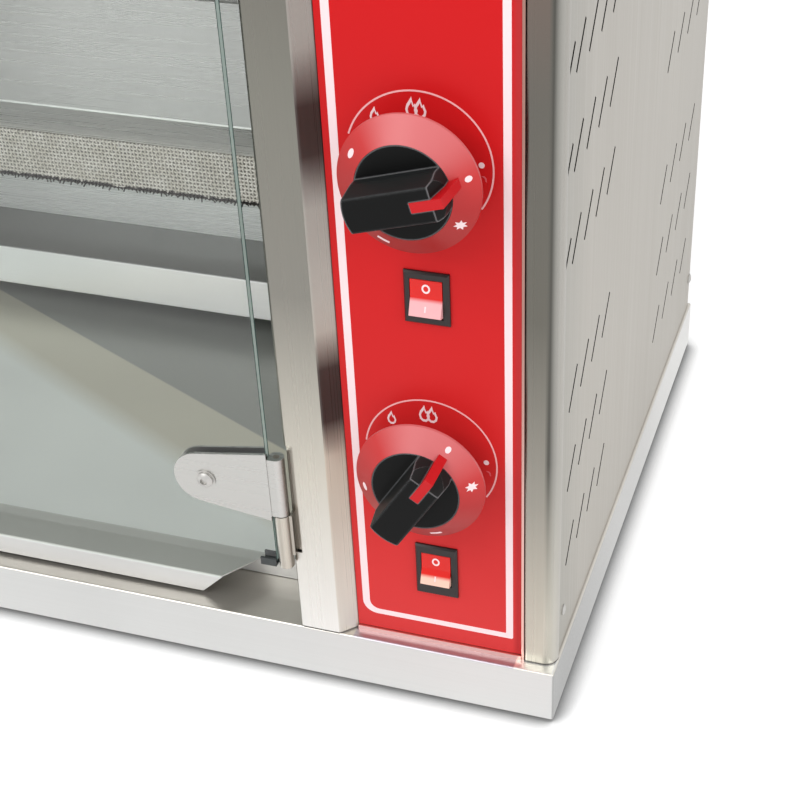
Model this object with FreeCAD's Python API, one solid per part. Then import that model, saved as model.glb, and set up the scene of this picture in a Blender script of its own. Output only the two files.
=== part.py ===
import FreeCAD, Part
import math
import os

os.makedirs("parts", exist_ok=True)
V = FreeCAD.Vector

# Everything is drawn in millimetres from the plinth's front right bottom corner: x runs right, so the
# cabinet lies at negative x, y runs to the back and z runs up. save() moves each piece to the frame's
# origin, which is under the middle of the object, on the surface that its feet stand on.

# cabinet
WIDTH = 860.0
DEPTH = 450.0
PLINTH_HEIGHT = 36.6
BODY_TOP = 546.0
COVER_HEIGHT = 25.0
FOOT_HEIGHT = 3.0
SHEET = 1.2
BEND = 1.2
MID_X = -WIDTH / 2
BODY_BACK = 446.0
SIDE_INSET = 2.0

# control column, at the right of the doors
POST_LEFT = -162.5
POST_FACE = 0.3
POST_WIDTH = 26.0
POST_CHAMFER = 9.3
PANEL_FACE = 9.3
PANEL_LEFT = -126.9
PANEL_RIGHT = -22.4
PANEL_THICKNESS = 2.0
PANEL_BOTTOM = PLINTH_HEIGHT + 3.6
COLUMN_LEFT = -20.5
COLUMN_FACE = 7.8
COLUMN_RADIUS = 8.0
COLUMN_SEAM = 17.5

# knobs and switches: x, z of their centres on the panel; width and height of the bezels
KNOBS = {"upper": (-74.8, 358.0), "lower": (-75.5, 175.0)}
KNOB_TURN = {"upper": 16.0, "lower": 57.0}
SWITCHES = {"upper": (-74.0, 282.9), "lower": (-74.2, 95.4)}
BEZELS = {"upper": (25.4, 31.6), "lower": (25.8, 37.0)}
SKIRT_RADIUS = 37.7
SKIRT_RIM = 20.0
DISC_RADIUS = 25.5
DISC_TOP = 29.0
GRIP_TOP = 48.0
POINTER_PROUD = 0.3
POINTER_START = 10.7
POINTER_RIDGE = 27.5
POINTER_END = 29.6
POINTER_WIDTH = 5.4
SLOPE_START = 22.0
STEM_RADIUS = 4.0
RUNNING = 0.05
BEZEL_PROUD = 2.2
ROCKER_TILT = -12.0
ROCKER_HALF = 10.4
ROCKER_RISE = {"upper": 0.0, "lower": 1.3}
ROCKER_PIVOT_Y = 10.5

# cooking chamber
CHAMBER_RIGHT = -150.0
DOORWAY = 637.5
DOORWAY_LEFT = POST_LEFT - DOORWAY
DOORWAY_MID = POST_LEFT - DOORWAY / 2
CHAMBER_LEFT = 2 * DOORWAY_MID - CHAMBER_RIGHT
CHAMBER_FRONT = 40.0
CHAMBER_BACK = 360.0
CEILING = 530.0
STATION_PITCH = 195.0
STATIONS = {"lower": 0.0, "upper": STATION_PITCH}
MESH_BOTTOM = 130.0
MESH_TOP = 173.0
MESH_FACE = 348.5
HOOD_FACE = 330.0
HOOD_EDGE = 206.0
HOODS = ((0.0, MESH_BOTTOM + STATION_PITCH - 22), (STATION_PITCH, CEILING - 0.5))
SKEWER_Y = 200.0
SKEWER_Z = 210.0
JOURNAL_RADIUS = 4.0
LEDGE_FRONT = 300.0
LEDGE_TOP = 94.0
LEDGE_BOTTOM = 59.0

# doors
GLASS_BOTTOM = 90.5
GLASS_TOP = 528.0
MID_HEIGHT = (GLASS_BOTTOM + GLASS_TOP) / 2
GLASS_FRONT = -6.0
GLASS_BACK = -1.0
GLASS_RIGHT = -171.0
DOOR_GAP = 3.0
HINGE_X = -165.7
HINGE_Y = -3.0
KNUCKLE_RADIUS = 4.7
KNUCKLE_BOTTOM = 89.0
KNUCKLE_JOINT = 128.0
KNUCKLE_TOP = 169.5
HINGE_CENTRE = 148.3
CLAMP_X = -210.2
CLAMP_SHANK = 4.0
GLASS_HOLE = 4.5
HANDLE_INSET = 20.0
PLATE_END_X = -213.2
PLATE_END_RADIUS = 17.3
PIN_RADIUS = 2.0

# drip tray
TRAY_RIGHT = -167.5
TRAY_LEFT = 2 * DOORWAY_MID - TRAY_RIGHT
TRAY_FRONT = 41.0
TRAY_BACK = 349.0
TRAY_FLOOR = 37.1
TRAY_RIM = 54.0
LIP_Y = 12.0
LIP_BOTTOM = 39.3

# gas and electrics behind the panel
PIPE_X = -75.2
PIPE_Y = 70.0
PIPE_RADIUS = 9.0
INLET_THREAD = 10.5
INLET_BORE = 7.5
INLET_Z = 90.0
INLET_END = DEPTH + GRIP_TOP + POINTER_PROUD - PANEL_FACE
GLAND_X = -40.0
GLAND_Z = 140.0

# vent slits of a side panel
SLIT_WIDTH = 2.8
SLIT_RUN = 17.8
SLIT_RISE = 21.2
SLIT_BLOCKS = ((95.0, 55.3), (300.0, 53.0))
SLIT_GROUPS = ((34.0, 27.0, 4), (290.5, 34.2, 4))
EDGE_SLIT_Y = 12.5
EDGE_SLIT_DROP = 4.0


def save(name, shape):
    shape = shape.copy()
    shape.translate(V(WIDTH / 2, -DEPTH / 2, FOOT_HEIGHT))
    shape.exportStep("parts/" + name + ".step")
    print(name, len(shape.Solids), "solid", round(shape.Volume / 1000, 2), "cm3", shape.isValid())


def box(x0, x1, y0, y1, z0, z1):
    return Part.makeBox(x1 - x0, y1 - y0, z1 - z0, V(x0, y0, z0))


def rod(start, end, radius):
    along = end - start
    return Part.makeCylinder(radius, along.Length, start, along)


def hexagon(start, end, across_flats):
    """A hexagonal nut or flange, along y."""
    corner = across_flats / math.sqrt(3)
    turns = [math.radians(60 * i) for i in range(7)]
    points = [start + V(corner * math.cos(t), 0, corner * math.sin(t)) for t in turns]
    return Part.Face(Part.makePolygon(points)).extrude(end - start)


def joined(shapes):
    return shapes[0].fuse(shapes[1:]).removeSplitter()


def group(shapes):
    return Part.makeCompound(shapes)


def mirrored(shape, x):
    return shape.mirror(V(x, 0, 0), V(1, 0, 0))


def both_hinges(shape):
    """A piece at a door's lower hinge and the same piece upside down at its upper hinge."""
    return [shape, shape.mirror(V(0, 0, MID_HEIGHT), V(0, 0, 1))]


# A profile is drawn in one of three planes and given its length square to it.
PLANES = {
    "plan": (lambda a, b, level: V(a, b, level), V(0, 0, 1)),
    "side": (lambda a, b, level: V(level, a, b), V(1, 0, 0)),
    "front": (lambda a, b, level: V(a, level, b), V(0, 1, 0)),
}


def profile(plane, points, start, end, radii=None):
    """A solid with this outline between two levels, each corner rounded to its radius."""
    place, direction = PLANES[plane]
    radii = radii or [0.0] * len(points)
    corners = [V(a, b, 0) for a, b in points]
    edges = []
    stretches = []
    for i, corner in enumerate(corners):
        to_last = (corners[i - 1] - corner).normalize()
        to_next = (corners[(i + 1) % len(corners)] - corner).normalize()
        half = to_last.getAngle(to_next) / 2
        if radii[i] <= 0:
            stretches.append((corner, corner))
            continue
        setback = radii[i] / math.tan(half)
        first, last = corner + to_last * setback, corner + to_next * setback
        inward = (to_last + to_next).normalize()
        middle = corner + inward * (radii[i] / math.sin(half) - radii[i])
        arc = [place(p.x, p.y, start) for p in (first, middle, last)]
        edges.append((i, Part.Arc(*arc).toShape()))
        stretches.append((first, last))
    for i in range(len(corners)):
        leave = stretches[i][1]
        reach = stretches[(i + 1) % len(corners)][0]
        if (reach - leave).Length > 1e-6:
            ends = [place(p.x, p.y, start) for p in (leave, reach)]
            edges.append((i + 0.5, Part.LineSegment(*ends).toShape()))
    wire = Part.Wire([edge for _, edge in sorted(edges, key=lambda item: item[0])])
    return Part.Face(wire).extrude(direction * (end - start))


def folded(plane, path, start, end, thickness=SHEET, bend=BEND, bends=None):
    """Sheet folded along a path. The path is one skin; the metal lies to its left, or right if negative."""
    points = [V(a, b, 0) for a, b in path]
    sides = []
    for a, b in zip(points, points[1:]):
        along = (b - a).normalize()
        sides.append(V(-along.y, along.x, 0))
    inner, outer_radii, inner_radii = [], [], []
    for i, point in enumerate(points):
        before = sides[max(i - 1, 0)]
        after = sides[min(i, len(sides) - 1)]
        shift = (before + after).normalize()
        inner.append(point + shift * (thickness / shift.dot(after)))
        turn = before.cross(after).z * thickness
        radius = bends[i] if bends else bend
        straight = abs(turn) < 1e-9
        outside = radius + abs(thickness)
        outer_radii.append(0.0 if straight else (outside if turn > 0 else radius))
        inner_radii.append(0.0 if straight else (radius if turn > 0 else outside))
    outline = [(p.x, p.y) for p in points + inner[::-1]]
    return profile(plane, outline, start, end, outer_radii + inner_radii[::-1])


# ---- cabinet ----


def tray_box(z0, z1, radius, flange):
    """The plinth or the cover: a shallow box of sheet with rounded edges and a return flange below."""
    outer = box(-WIDTH, 0, 0, DEPTH, z0, z1)
    edges = [e for e in outer.Edges if e.BoundBox.ZMax > z0 + 1]
    outer = outer.makeFillet(radius, edges)
    room = box(-WIDTH + SHEET, -SHEET, SHEET, DEPTH - SHEET, z0 + SHEET, z1 - SHEET)
    mouth = box(-WIDTH + flange, -flange, flange, DEPTH - flange, z0 - 1, z0 + SHEET + 1)
    return outer.cut(room).cut(mouth)


def plinth():
    return tray_box(0, PLINTH_HEIGHT, 1.6, 60)


def feet():
    inset = 36.0
    places = [(-inset, inset), (-inset, DEPTH - inset)]
    places += [(-WIDTH + inset, inset), (-WIDTH + inset, DEPTH - inset)]
    return group([rod(V(x, y, -FOOT_HEIGHT), V(x, y, 0), 15) for x, y in places])


def top_cover():
    cover = tray_box(BODY_TOP, BODY_TOP + COVER_HEIGHT, 1.6, 14)
    slots = []
    for column in range(14):
        x = MID_X + (column - 6.5) * 32 - 48
        for y in (318.0, 352.0):
            slots.append(box(x - 11, x + 11, y, y + 5, BODY_TOP + 15, BODY_TOP + COVER_HEIGHT + 1))
    return cover.cut(group(slots))


def slit(y, z):
    """One slanted vent slit, cut right through the right side panel."""
    length = math.hypot(SLIT_RUN, SLIT_RISE)
    cutter = box(-12, 4, 0, length, -SLIT_WIDTH / 2, SLIT_WIDTH / 2)
    cutter.rotate(V(0, 0, 0), V(1, 0, 0), math.degrees(math.atan2(SLIT_RISE, SLIT_RUN)))
    cutter.translate(V(0, y, z))
    return cutter


def slits():
    cutters = []
    for block, (bottom, pitch) in enumerate(SLIT_BLOCKS):
        for row in range(3):
            z = bottom + row * pitch
            for start, spacing, count in SLIT_GROUPS:
                cutters += [slit(start + i * spacing, z) for i in range(count)]
            if block == 1:
                cutters.append(slit(EDGE_SLIT_Y, z - EDGE_SLIT_DROP))
    return group(cutters)


def side_panel():
    back = BODY_BACK - SHEET - 0.2
    panel = box(-SIDE_INSET - SHEET, -SIDE_INSET, COLUMN_SEAM + 0.3, back, PLINTH_HEIGHT, BODY_TOP)
    return panel.cut(slits())


def corner_column():
    path = [(COLUMN_LEFT, 32), (COLUMN_LEFT, COLUMN_FACE), (-0.9, COLUMN_FACE)]
    path += [(-0.9, COLUMN_SEAM), (-14, COLUMN_SEAM)]
    radius = COLUMN_RADIUS - SHEET
    return folded("plan", path, PLINTH_HEIGHT, BODY_TOP, bends=[0, 0.8, radius, 0.3, 0])


def door_post_right():
    right = POST_LEFT + POST_WIDTH
    chamfer_end = right + POST_CHAMFER
    path = [(CHAMBER_RIGHT, CHAMBER_FRONT), (POST_LEFT, CHAMBER_FRONT), (POST_LEFT, POST_FACE)]
    path += [(right, POST_FACE), (chamfer_end, POST_FACE + POST_CHAMFER + 0.3), (chamfer_end, 30)]
    post = folded("plan", path, PLINTH_HEIGHT, BODY_TOP)
    return post.cut(group(both_hinges(box(POST_LEFT - 1, -156.6, -1, 12, 97, 176))))


def door_post_left():
    left = -WIDTH + 0.9
    right = DOORWAY_LEFT - POST_WIDTH
    step = COLUMN_FACE - POST_FACE
    path = [(CHAMBER_LEFT, CHAMBER_FRONT), (DOORWAY_LEFT, CHAMBER_FRONT), (DOORWAY_LEFT, POST_FACE)]
    path += [(right, POST_FACE), (right - step, COLUMN_FACE), (left, COLUMN_FACE)]
    path += [(left, COLUMN_SEAM), (left + 13, COLUMN_SEAM)]
    bends = [0, BEND, BEND, BEND, BEND, COLUMN_RADIUS - SHEET, 0.3, 0]
    post = folded("plan", path, PLINTH_HEIGHT, BODY_TOP, thickness=-SHEET, bends=bends)
    edge = 2 * DOORWAY_MID + 156.6
    return post.cut(group(both_hinges(box(edge, DOORWAY_LEFT + 1, -1, 12, 97, 176))))


def header_rail():
    bottom = GLASS_TOP + 4.6
    path = [(16, bottom), (POST_FACE, bottom), (POST_FACE, BODY_TOP), (16, BODY_TOP)]
    return folded("side", path, DOORWAY_LEFT + 0.2, POST_LEFT - 0.2, thickness=-SHEET)


def back_panel():
    panel = box(-WIDTH + 3.4, -3.4, BODY_BACK - SHEET, BODY_BACK, PLINTH_HEIGHT, BODY_TOP)
    before, behind = BODY_BACK - 10, BODY_BACK + 10
    holes = [rod(V(PIPE_X, before, INLET_Z), V(PIPE_X, behind, INLET_Z), PIPE_RADIUS + 1)]
    holes.append(rod(V(GLAND_X, before, GLAND_Z), V(GLAND_X, behind, GLAND_Z), 8.2))
    for column in range(12):
        x = -28.0 - column * 9
        holes.append(box(x - 1.5, x + 1.5, before, behind, 420, 470))
    return panel.cut(group(holes))


def cabinet_screws():
    """Domed screws low at the front of both sides, up their back edges and across the back."""
    heads = [dome(V(-SIDE_INSET, 29.5, 64), V(1, 0, 0), 3.4, 1.6)]
    for z in (64.0, 300.0, 528.0):
        heads.append(dome(V(-SIDE_INSET, BODY_BACK - 5.5, z), V(1, 0, 0), 4.0, 1.9))
    heads += [mirrored(head, MID_X) for head in heads]
    for z in (62.0, 308.0, 536.0):
        for x in (-9.0, -155.0, -430.0, -705.0, -851.0):
            heads.append(dome(V(x, BODY_BACK, z), V(0, 1, 0), 4.2, 3.4))
    return group(heads)


def dome(base, direction, radius, height):
    """A screw head: a low spherical cap on a short cylinder, standing on a surface."""
    rim = height * 0.35
    cap = height - rim
    sphere_radius = (radius**2 + cap**2) / (2 * cap)
    half = math.asin(radius / sphere_radius) / 2
    middle = V(sphere_radius * math.sin(half), 0, height - sphere_radius * (1 - math.cos(half)))
    corners = [V(0, 0, height), V(0, 0, 0), V(radius, 0, 0), V(radius, 0, rim)]
    edges = [Part.LineSegment(a, b).toShape() for a, b in zip(corners, corners[1:])]
    edges.append(Part.Arc(corners[3], middle, corners[0]).toShape())
    head = Part.Face(Part.Wire(edges)).revolve(V(0, 0, 0), V(0, 0, 1), 360)
    head.Placement = FreeCAD.Placement(base, FreeCAD.Rotation(V(0, 0, 1), direction))
    return head


# ---- control panel ----


def control_panel():
    back = PANEL_FACE + PANEL_THICKNESS
    panel = box(PANEL_LEFT, PANEL_RIGHT, PANEL_FACE, back, PANEL_BOTTOM, CEILING + 2)
    return panel.cut(panel_holes(5.0))


def panel_frame():
    """The stainless sheet behind the red panel, with lips along its lower and right edges."""
    back = PANEL_FACE + PANEL_THICKNESS
    sheet = box(PANEL_LEFT, PANEL_RIGHT, back, back + SHEET, PLINTH_HEIGHT, BODY_TOP)
    lip = box(PANEL_LEFT, PANEL_RIGHT, COLUMN_FACE, back, PLINTH_HEIGHT, PANEL_BOTTOM - 0.4)
    edge = box(PANEL_RIGHT, COLUMN_LEFT - 0.4, PANEL_FACE - 0.3, back + SHEET, PLINTH_HEIGHT, BODY_TOP)
    return joined([sheet, lip, edge]).cut(panel_holes(6.0))


def panel_holes(radius):
    holes = [rod(V(x, 0, z), V(x, 30, z), radius) for x, z in KNOBS.values()]
    for where, (x, z) in SWITCHES.items():
        half_w, half_h = body_half(where)
        holes.append(box(x - half_w - 0.3, x + half_w + 0.3, 0, 30, z - half_h - 0.3, z + half_h + 0.3))
    return group(holes)


def turned(shape, where):
    """Turns a knob piece, drawn pointing right and about x = z = 0, and puts it on its shaft."""
    shape = shape.copy()
    shape.rotate(V(0, 0, 0), V(0, -1, 0), KNOB_TURN[where])
    x, z = KNOBS[where]
    shape.translate(V(x, PANEL_FACE, z))
    return shape


def lathed(points):
    """A ring or disc about the knob's axis; points are its radius and its distance out of the panel."""
    corners = [V(radius, -out, 0) for radius, out in points]
    face = Part.Face(Part.makePolygon(corners + corners[:1]))
    return face.revolve(V(0, 0, 0), V(0, 1, 0), 360)


def knob_skirt():
    inner = DISC_RADIUS + 0.2
    points = [(11, 6), (14, 6), (14, 17), (SKIRT_RADIUS - 2, SKIRT_RIM - 2.4)]
    points += [(SKIRT_RADIUS, SKIRT_RIM - 1.6), (SKIRT_RADIUS, SKIRT_RIM)]
    points += [(inner, DISC_TOP), (inner, 21), (11, 21)]
    return lathed(points)


def grip_bar():
    """The bar across the knob: drafted sides, round tail and a sloped front end."""
    half_base, half_mid, half_top = 10.8, 11.2, 9.3
    base, mid = DISC_TOP - 1, DISC_TOP + 6
    section = [(-base, -half_base), (-base, half_base), (-mid, half_mid), (-GRIP_TOP, half_top)]
    section += [(-GRIP_TOP, -half_top), (-mid, -half_mid)]
    bar = profile("side", section, -26, 26, radii=[0, 0, 2, 1.2, 1.2, 2])
    round_ends = rod(V(0, 0, 0), V(0, -60, 0), DISC_RADIUS - 0.1)
    slope = [(SLOPE_START, -GRIP_TOP), (30, -GRIP_TOP), (30, -DISC_TOP), (DISC_RADIUS, -DISC_TOP - 4)]
    wedge = profile("plan", slope, -20, 20)
    return bar.common(round_ends).cut(wedge)


def knob_grip():
    collar = lathed([(STEM_RADIUS + RUNNING, 7), (10.8, 7), (10.8, 21.2), (DISC_RADIUS, 21.2)]
                    + [(DISC_RADIUS, DISC_TOP), (0, DISC_TOP), (0, 24.5), (STEM_RADIUS + RUNNING, 24.5)])
    return joined([collar, grip_bar()]).cut(pointer_strip(0.05))


def pointer_strip(gap):
    """The red fin along the front end of the grip's bar, out over the skirt and down to it."""
    half = POINTER_WIDTH / 2 + gap
    top = GRIP_TOP + POINTER_PROUD
    path = [(POINTER_START - gap, top), (POINTER_RIDGE, top), (POINTER_END, DISC_TOP - 2.0)]
    path += [(POINTER_END, DISC_TOP - 2.87), (DISC_RADIUS + 0.25, DISC_TOP + 0.02)]
    path += [(SLOPE_START - 1.5, DISC_TOP), (POINTER_START - gap, GRIP_TOP - 1.6 - gap)]
    return profile("plan", [(u, -out) for u, out in path], -half, half)


def knob_pointer():
    return pointer_strip(0.0)


def valve_stem():
    return rod(V(0, 22.7, 0), V(0, -24.0, 0), STEM_RADIUS)


def gas_valve(where):
    x, z = KNOBS[where]
    body = box(x - 16, x + 16, 22, PIPE_Y - PIPE_RADIUS + 1.5, z - 17, z + 17)
    nose = rod(V(x, 13, z), V(x, 22, z), 9)
    outlet = rod(V(x + 15, 42, z), V(x + 20, 42, z), 6.5)
    bore = rod(V(x, 10, z), V(x, 38, z), STEM_RADIUS + RUNNING)
    return joined([body, nose, outlet]).cut(bore).cut(manifold_pipe(0.0))


def body_half(where):
    """Half the width and half the height of the switch's body behind its bezel."""
    width, height = BEZELS[where]
    return width / 2 - 1.8, height / 2 - 2.1


def switch_housing(where):
    x, z = SWITCHES[where]
    half_w, half_h = BEZELS[where][0] / 2, BEZELS[where][1] / 2
    bezel = box(x - half_w, x + half_w, PANEL_FACE - BEZEL_PROUD, PANEL_FACE, z - half_h, z + half_h)
    front = [e for e in bezel.Edges if e.BoundBox.YMax < PANEL_FACE - 1]
    bezel = bezel.makeChamfer(1.0, front)
    body_w, body_h = body_half(where)
    body = box(x - body_w, x + body_w, PANEL_FACE, 36, z - body_h, z + body_h)
    middle, reach = z + ROCKER_RISE[where], ROCKER_HALF + 1.3
    well = box(x - 9.3, x + 9.3, 0, 23, middle - reach, middle + reach)
    tabs = [box(x - 3, x + 3, 36, 44, z + s - 0.4, z + s + 0.4) for s in (-8, 0, 8)]
    return joined([bezel, body] + tabs).cut(well)


def switch_rocker(where):
    """The rocker, which rests with its top pressed in, level with the bezel."""
    x, z = SWITCHES[where]
    middle, half = z + ROCKER_RISE[where], ROCKER_HALF
    section = [(6.8, 0), (4.8, half), (9, half + 0.4), (17, 6), (17, -6), (9, -half - 0.4), (4.8, -half)]
    points = [(y, middle + dz) for y, dz in section]
    rocker = profile("side", points, x - 8.9, x + 8.9, radii=[1.5, 0.6, 2, 1, 1, 2, 0.6])
    rocker.rotate(V(x, ROCKER_PIVOT_Y, middle), V(1, 0, 0), ROCKER_TILT)
    return rocker


# ---- gas ----


def manifold_pipe(bore_gap):
    top = KNOBS["upper"][1] + 40
    radius = PIPE_RADIUS + bore_gap
    upright = rod(V(PIPE_X, PIPE_Y, INLET_Z), V(PIPE_X, PIPE_Y, top), radius)
    elbow = Part.makeSphere(radius, V(PIPE_X, PIPE_Y, INLET_Z))
    run = rod(V(PIPE_X, PIPE_Y, INLET_Z), V(PIPE_X, INLET_END, INLET_Z), radius)
    return joined([upright, elbow, run])


def gas_manifold():
    pipe = manifold_pipe(0.0)
    end = rod(V(PIPE_X, INLET_END - 22, INLET_Z), V(PIPE_X, INLET_END, INLET_Z), INLET_THREAD)
    flange = hexagon(V(PIPE_X, BODY_BACK, INLET_Z), V(PIPE_X, BODY_BACK + 12, INLET_Z), 27)
    support = box(PIPE_X - 6, PIPE_X + 6, PIPE_Y - 6, PIPE_Y + 6, PLINTH_HEIGHT, INLET_Z)
    bore = rod(V(PIPE_X, INLET_END - 40, INLET_Z), V(PIPE_X, INLET_END + 1, INLET_Z), INLET_BORE)
    return joined([pipe, end, flange, support]).cut(bore)


def gas_tubes():
    """The two feed tubes, from each valve's outlet round to the right end of its burner."""
    tubes = []
    for where, rise in STATIONS.items():
        x, z = KNOBS[where]
        burner_z = (MESH_BOTTOM + MESH_TOP) / 2 + rise
        route = [V(x + 20, 42, z), V(-30, 42, z), V(-30, 380, burner_z)]
        route.append(V(CHAMBER_RIGHT - 16, 380, burner_z))
        pieces = [rod(a, b, 4) for a, b in zip(route, route[1:])]
        pieces += [Part.makeSphere(4, corner) for corner in route[1:-1]]
        tubes.append(joined(pieces))
    return group(tubes)


def burner_body(rise):
    """The gas chamber behind one burner's ceramic face."""
    left, right = CHAMBER_LEFT + 24, CHAMBER_RIGHT - 16
    low, high = MESH_BOTTOM - 8 + rise, MESH_TOP + 8 + rise
    body = box(left, right, CHAMBER_BACK + SHEET, 400, low, high)
    room = box(left + 2, right - 2, CHAMBER_BACK, 398, low + 8, high - 8)
    return body.cut(room)


def ceramic_plaque(rise):
    left, right = CHAMBER_LEFT + 28, CHAMBER_RIGHT - 20
    back = CHAMBER_BACK + SHEET + 3
    return box(left, right, 352, back, MESH_BOTTOM + rise, MESH_TOP + rise)


def burner_mesh(rise):
    """The plate that stands for a burner's woven wire, its lower edge turned to the back."""
    low = MESH_BOTTOM - 1 + rise
    path = [(MESH_FACE, MESH_TOP + rise), (MESH_FACE, low), (MESH_FACE + 7, low)]
    return folded("side", path, CHAMBER_LEFT + 26, CHAMBER_RIGHT - 14, thickness=1.0, bend=0.6)


def burner_hood(rise, top):
    """The back wall's sheet above a burner: it leans forward over the mesh and then runs up."""
    under = MESH_TOP + rise
    path = [(CHAMBER_BACK, under), (MESH_FACE + 1.5, under), (HOOD_FACE, HOOD_EDGE + rise)]
    path += [(HOOD_FACE, top), (CHAMBER_BACK, top)]
    return folded("side", path, CHAMBER_LEFT + SHEET, CHAMBER_RIGHT - SHEET, thickness=-1.0, bend=0.8)


# ---- chamber ----


def chamber_back():
    left, right = CHAMBER_LEFT, CHAMBER_RIGHT
    wall = box(left, right, CHAMBER_BACK, CHAMBER_BACK + SHEET, PLINTH_HEIGHT, CEILING)
    for rise in STATIONS.values():
        low, high = MESH_BOTTOM - 0.5 + rise, MESH_TOP + 0.5 + rise
        wall = wall.cut(box(left + 27, right - 19, CHAMBER_BACK - 5, CHAMBER_BACK + 5, low, high))
    return wall


def chamber_side(x):
    return box(x, x + SHEET, CHAMBER_FRONT, CHAMBER_BACK, PLINTH_HEIGHT, CEILING)


def chamber_right():
    return chamber_side(CHAMBER_RIGHT - SHEET).cut(shaft_holes(8.0))


def chamber_left():
    return chamber_side(CHAMBER_LEFT)


def shaft_holes(radius):
    holes = []
    for rise in STATIONS.values():
        z = SKEWER_Z + rise
        holes.append(rod(V(CHAMBER_RIGHT - 10, SKEWER_Y, z), V(CHAMBER_RIGHT + 12, SKEWER_Y, z), radius))
    return group(holes)


def chamber_ceiling():
    top, back = CEILING + SHEET, CHAMBER_BACK + SHEET
    sheet = box(CHAMBER_LEFT, CHAMBER_RIGHT, CHAMBER_FRONT, back, CEILING, top)
    front = box(DOORWAY_LEFT, POST_LEFT, 18, CHAMBER_FRONT, CEILING, top)
    flue = box(CHAMBER_LEFT + 80, CHAMBER_RIGHT - 80, 270, 315, CEILING - 1, top + 1)
    return joined([sheet, front]).cut(flue)


def ledge():
    path = [(CHAMBER_BACK, LEDGE_TOP), (LEDGE_FRONT, LEDGE_TOP), (LEDGE_FRONT, LEDGE_BOTTOM)]
    path.append((LEDGE_FRONT + 12, LEDGE_BOTTOM))
    return folded("side", path, CHAMBER_LEFT + SHEET, CHAMBER_RIGHT - SHEET, thickness=1.0, bend=0.8)


def tray_guide():
    outer = TRAY_RIGHT + 1.9
    deck = PLINTH_HEIGHT
    path = [(outer, deck + 12), (outer, deck), (CHAMBER_RIGHT - SHEET - 0.4, deck)]
    return folded("front", path, 46, TRAY_BACK, thickness=SHEET, bend=0.8)


def rounded_upright(block, radius):
    return block.makeFillet(radius, [e for e in block.Edges if e.BoundBox.ZLength > 10])


def drip_tray():
    pan = box(TRAY_LEFT, TRAY_RIGHT, TRAY_FRONT, TRAY_BACK, TRAY_FLOOR, TRAY_RIM)
    room = box(TRAY_LEFT + 1, TRAY_RIGHT - 1, TRAY_FRONT + 1, TRAY_BACK - 1, TRAY_FLOOR + 1, TRAY_RIM + 1)
    pan = rounded_upright(pan, 3.0).cut(rounded_upright(room, 2.0))
    wide, narrow, low = -200.0, -220.6, -234.0
    path = [(TRAY_FRONT + 0.8, TRAY_RIM), (LIP_Y, TRAY_RIM), (LIP_Y, LIP_BOTTOM)]
    flap = folded("side", path, 2 * DOORWAY_MID - wide, wide, thickness=1.0, bend=0.8)
    plan = [(wide, TRAY_FRONT + 2), (wide, TRAY_FRONT), (narrow, LIP_Y + 0.1), (narrow, 0)]
    plan += [(2 * DOORWAY_MID - x, y) for x, y in plan[::-1]]
    flap = flap.common(profile("plan", plan, 0, 60))
    below = LIP_BOTTOM - 1
    corner = [(narrow + 1, TRAY_RIM - 1.5), (narrow, TRAY_RIM - 1.5), (low, LIP_BOTTOM)]
    corner += [(low, below), (narrow + 1, below)]
    cut = profile("front", corner, 0, LIP_Y + 1.5)
    return joined([pan, flap.cut(cut).cut(mirrored(cut, DOORWAY_MID))])


# ---- drive and skewer ----


def gear_motor(rise):
    z = SKEWER_Z + rise
    gearbox = box(CHAMBER_RIGHT + 2, -118, SKEWER_Y - 29, SKEWER_Y + 29, z - 29, z + 29)
    windings = rod(V(-118, SKEWER_Y, z), V(-92, SKEWER_Y, z), 24)
    bore = rod(V(-150, SKEWER_Y, z), V(-124, SKEWER_Y, z), 5 + RUNNING)
    return joined([gearbox, windings]).cut(bore)


def motor_bracket():
    low, high = SKEWER_Z - 45, SKEWER_Z + STATION_PITCH + 45
    plate = box(CHAMBER_RIGHT, CHAMBER_RIGHT + 2, SKEWER_Y - 45, SKEWER_Y + 45, low, high)
    return plate.cut(shaft_holes(15.0))


def drive_socket(rise):
    """The socket that turns a skewer, with its shaft in the motor's gearbox."""
    z = SKEWER_Z + rise
    cup = rod(V(-177, SKEWER_Y, z), V(-154, SKEWER_Y, z), 11)
    shaft = rod(V(-154, SKEWER_Y, z), V(-126, SKEWER_Y, z), 5)
    pocket = box(-180, -159, SKEWER_Y - 4.3, SKEWER_Y + 4.3, z - 4.3, z + 4.3)
    return joined([cup, shaft]).cut(pocket)


def skewer_cradle(rise):
    z = SKEWER_Z + rise
    left = CHAMBER_LEFT + SHEET
    block = box(left, left + 8, SKEWER_Y - 14, SKEWER_Y + 14, z - 22, z + 5)
    radius = JOURNAL_RADIUS + RUNNING
    seat = rod(V(left - 1, SKEWER_Y, z), V(left + 9, SKEWER_Y, z), radius)
    mouth = box(left - 1, left + 9, SKEWER_Y - radius, SKEWER_Y + radius, z, z + 6)
    return block.cut(seat).cut(mouth)


def skewer_rod():
    z = SKEWER_Z + STATIONS["upper"]
    left = CHAMBER_LEFT + SHEET + 14
    square = box(left, -161, SKEWER_Y - 4, SKEWER_Y + 4, z - 4, z + 4)
    edges = [e for e in square.Edges if e.BoundBox.XLength > 100]
    journal = rod(V(left - 13, SKEWER_Y, z), V(left, SKEWER_Y, z), JOURNAL_RADIUS)
    return joined([square.makeChamfer(0.8, edges), journal])


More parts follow.
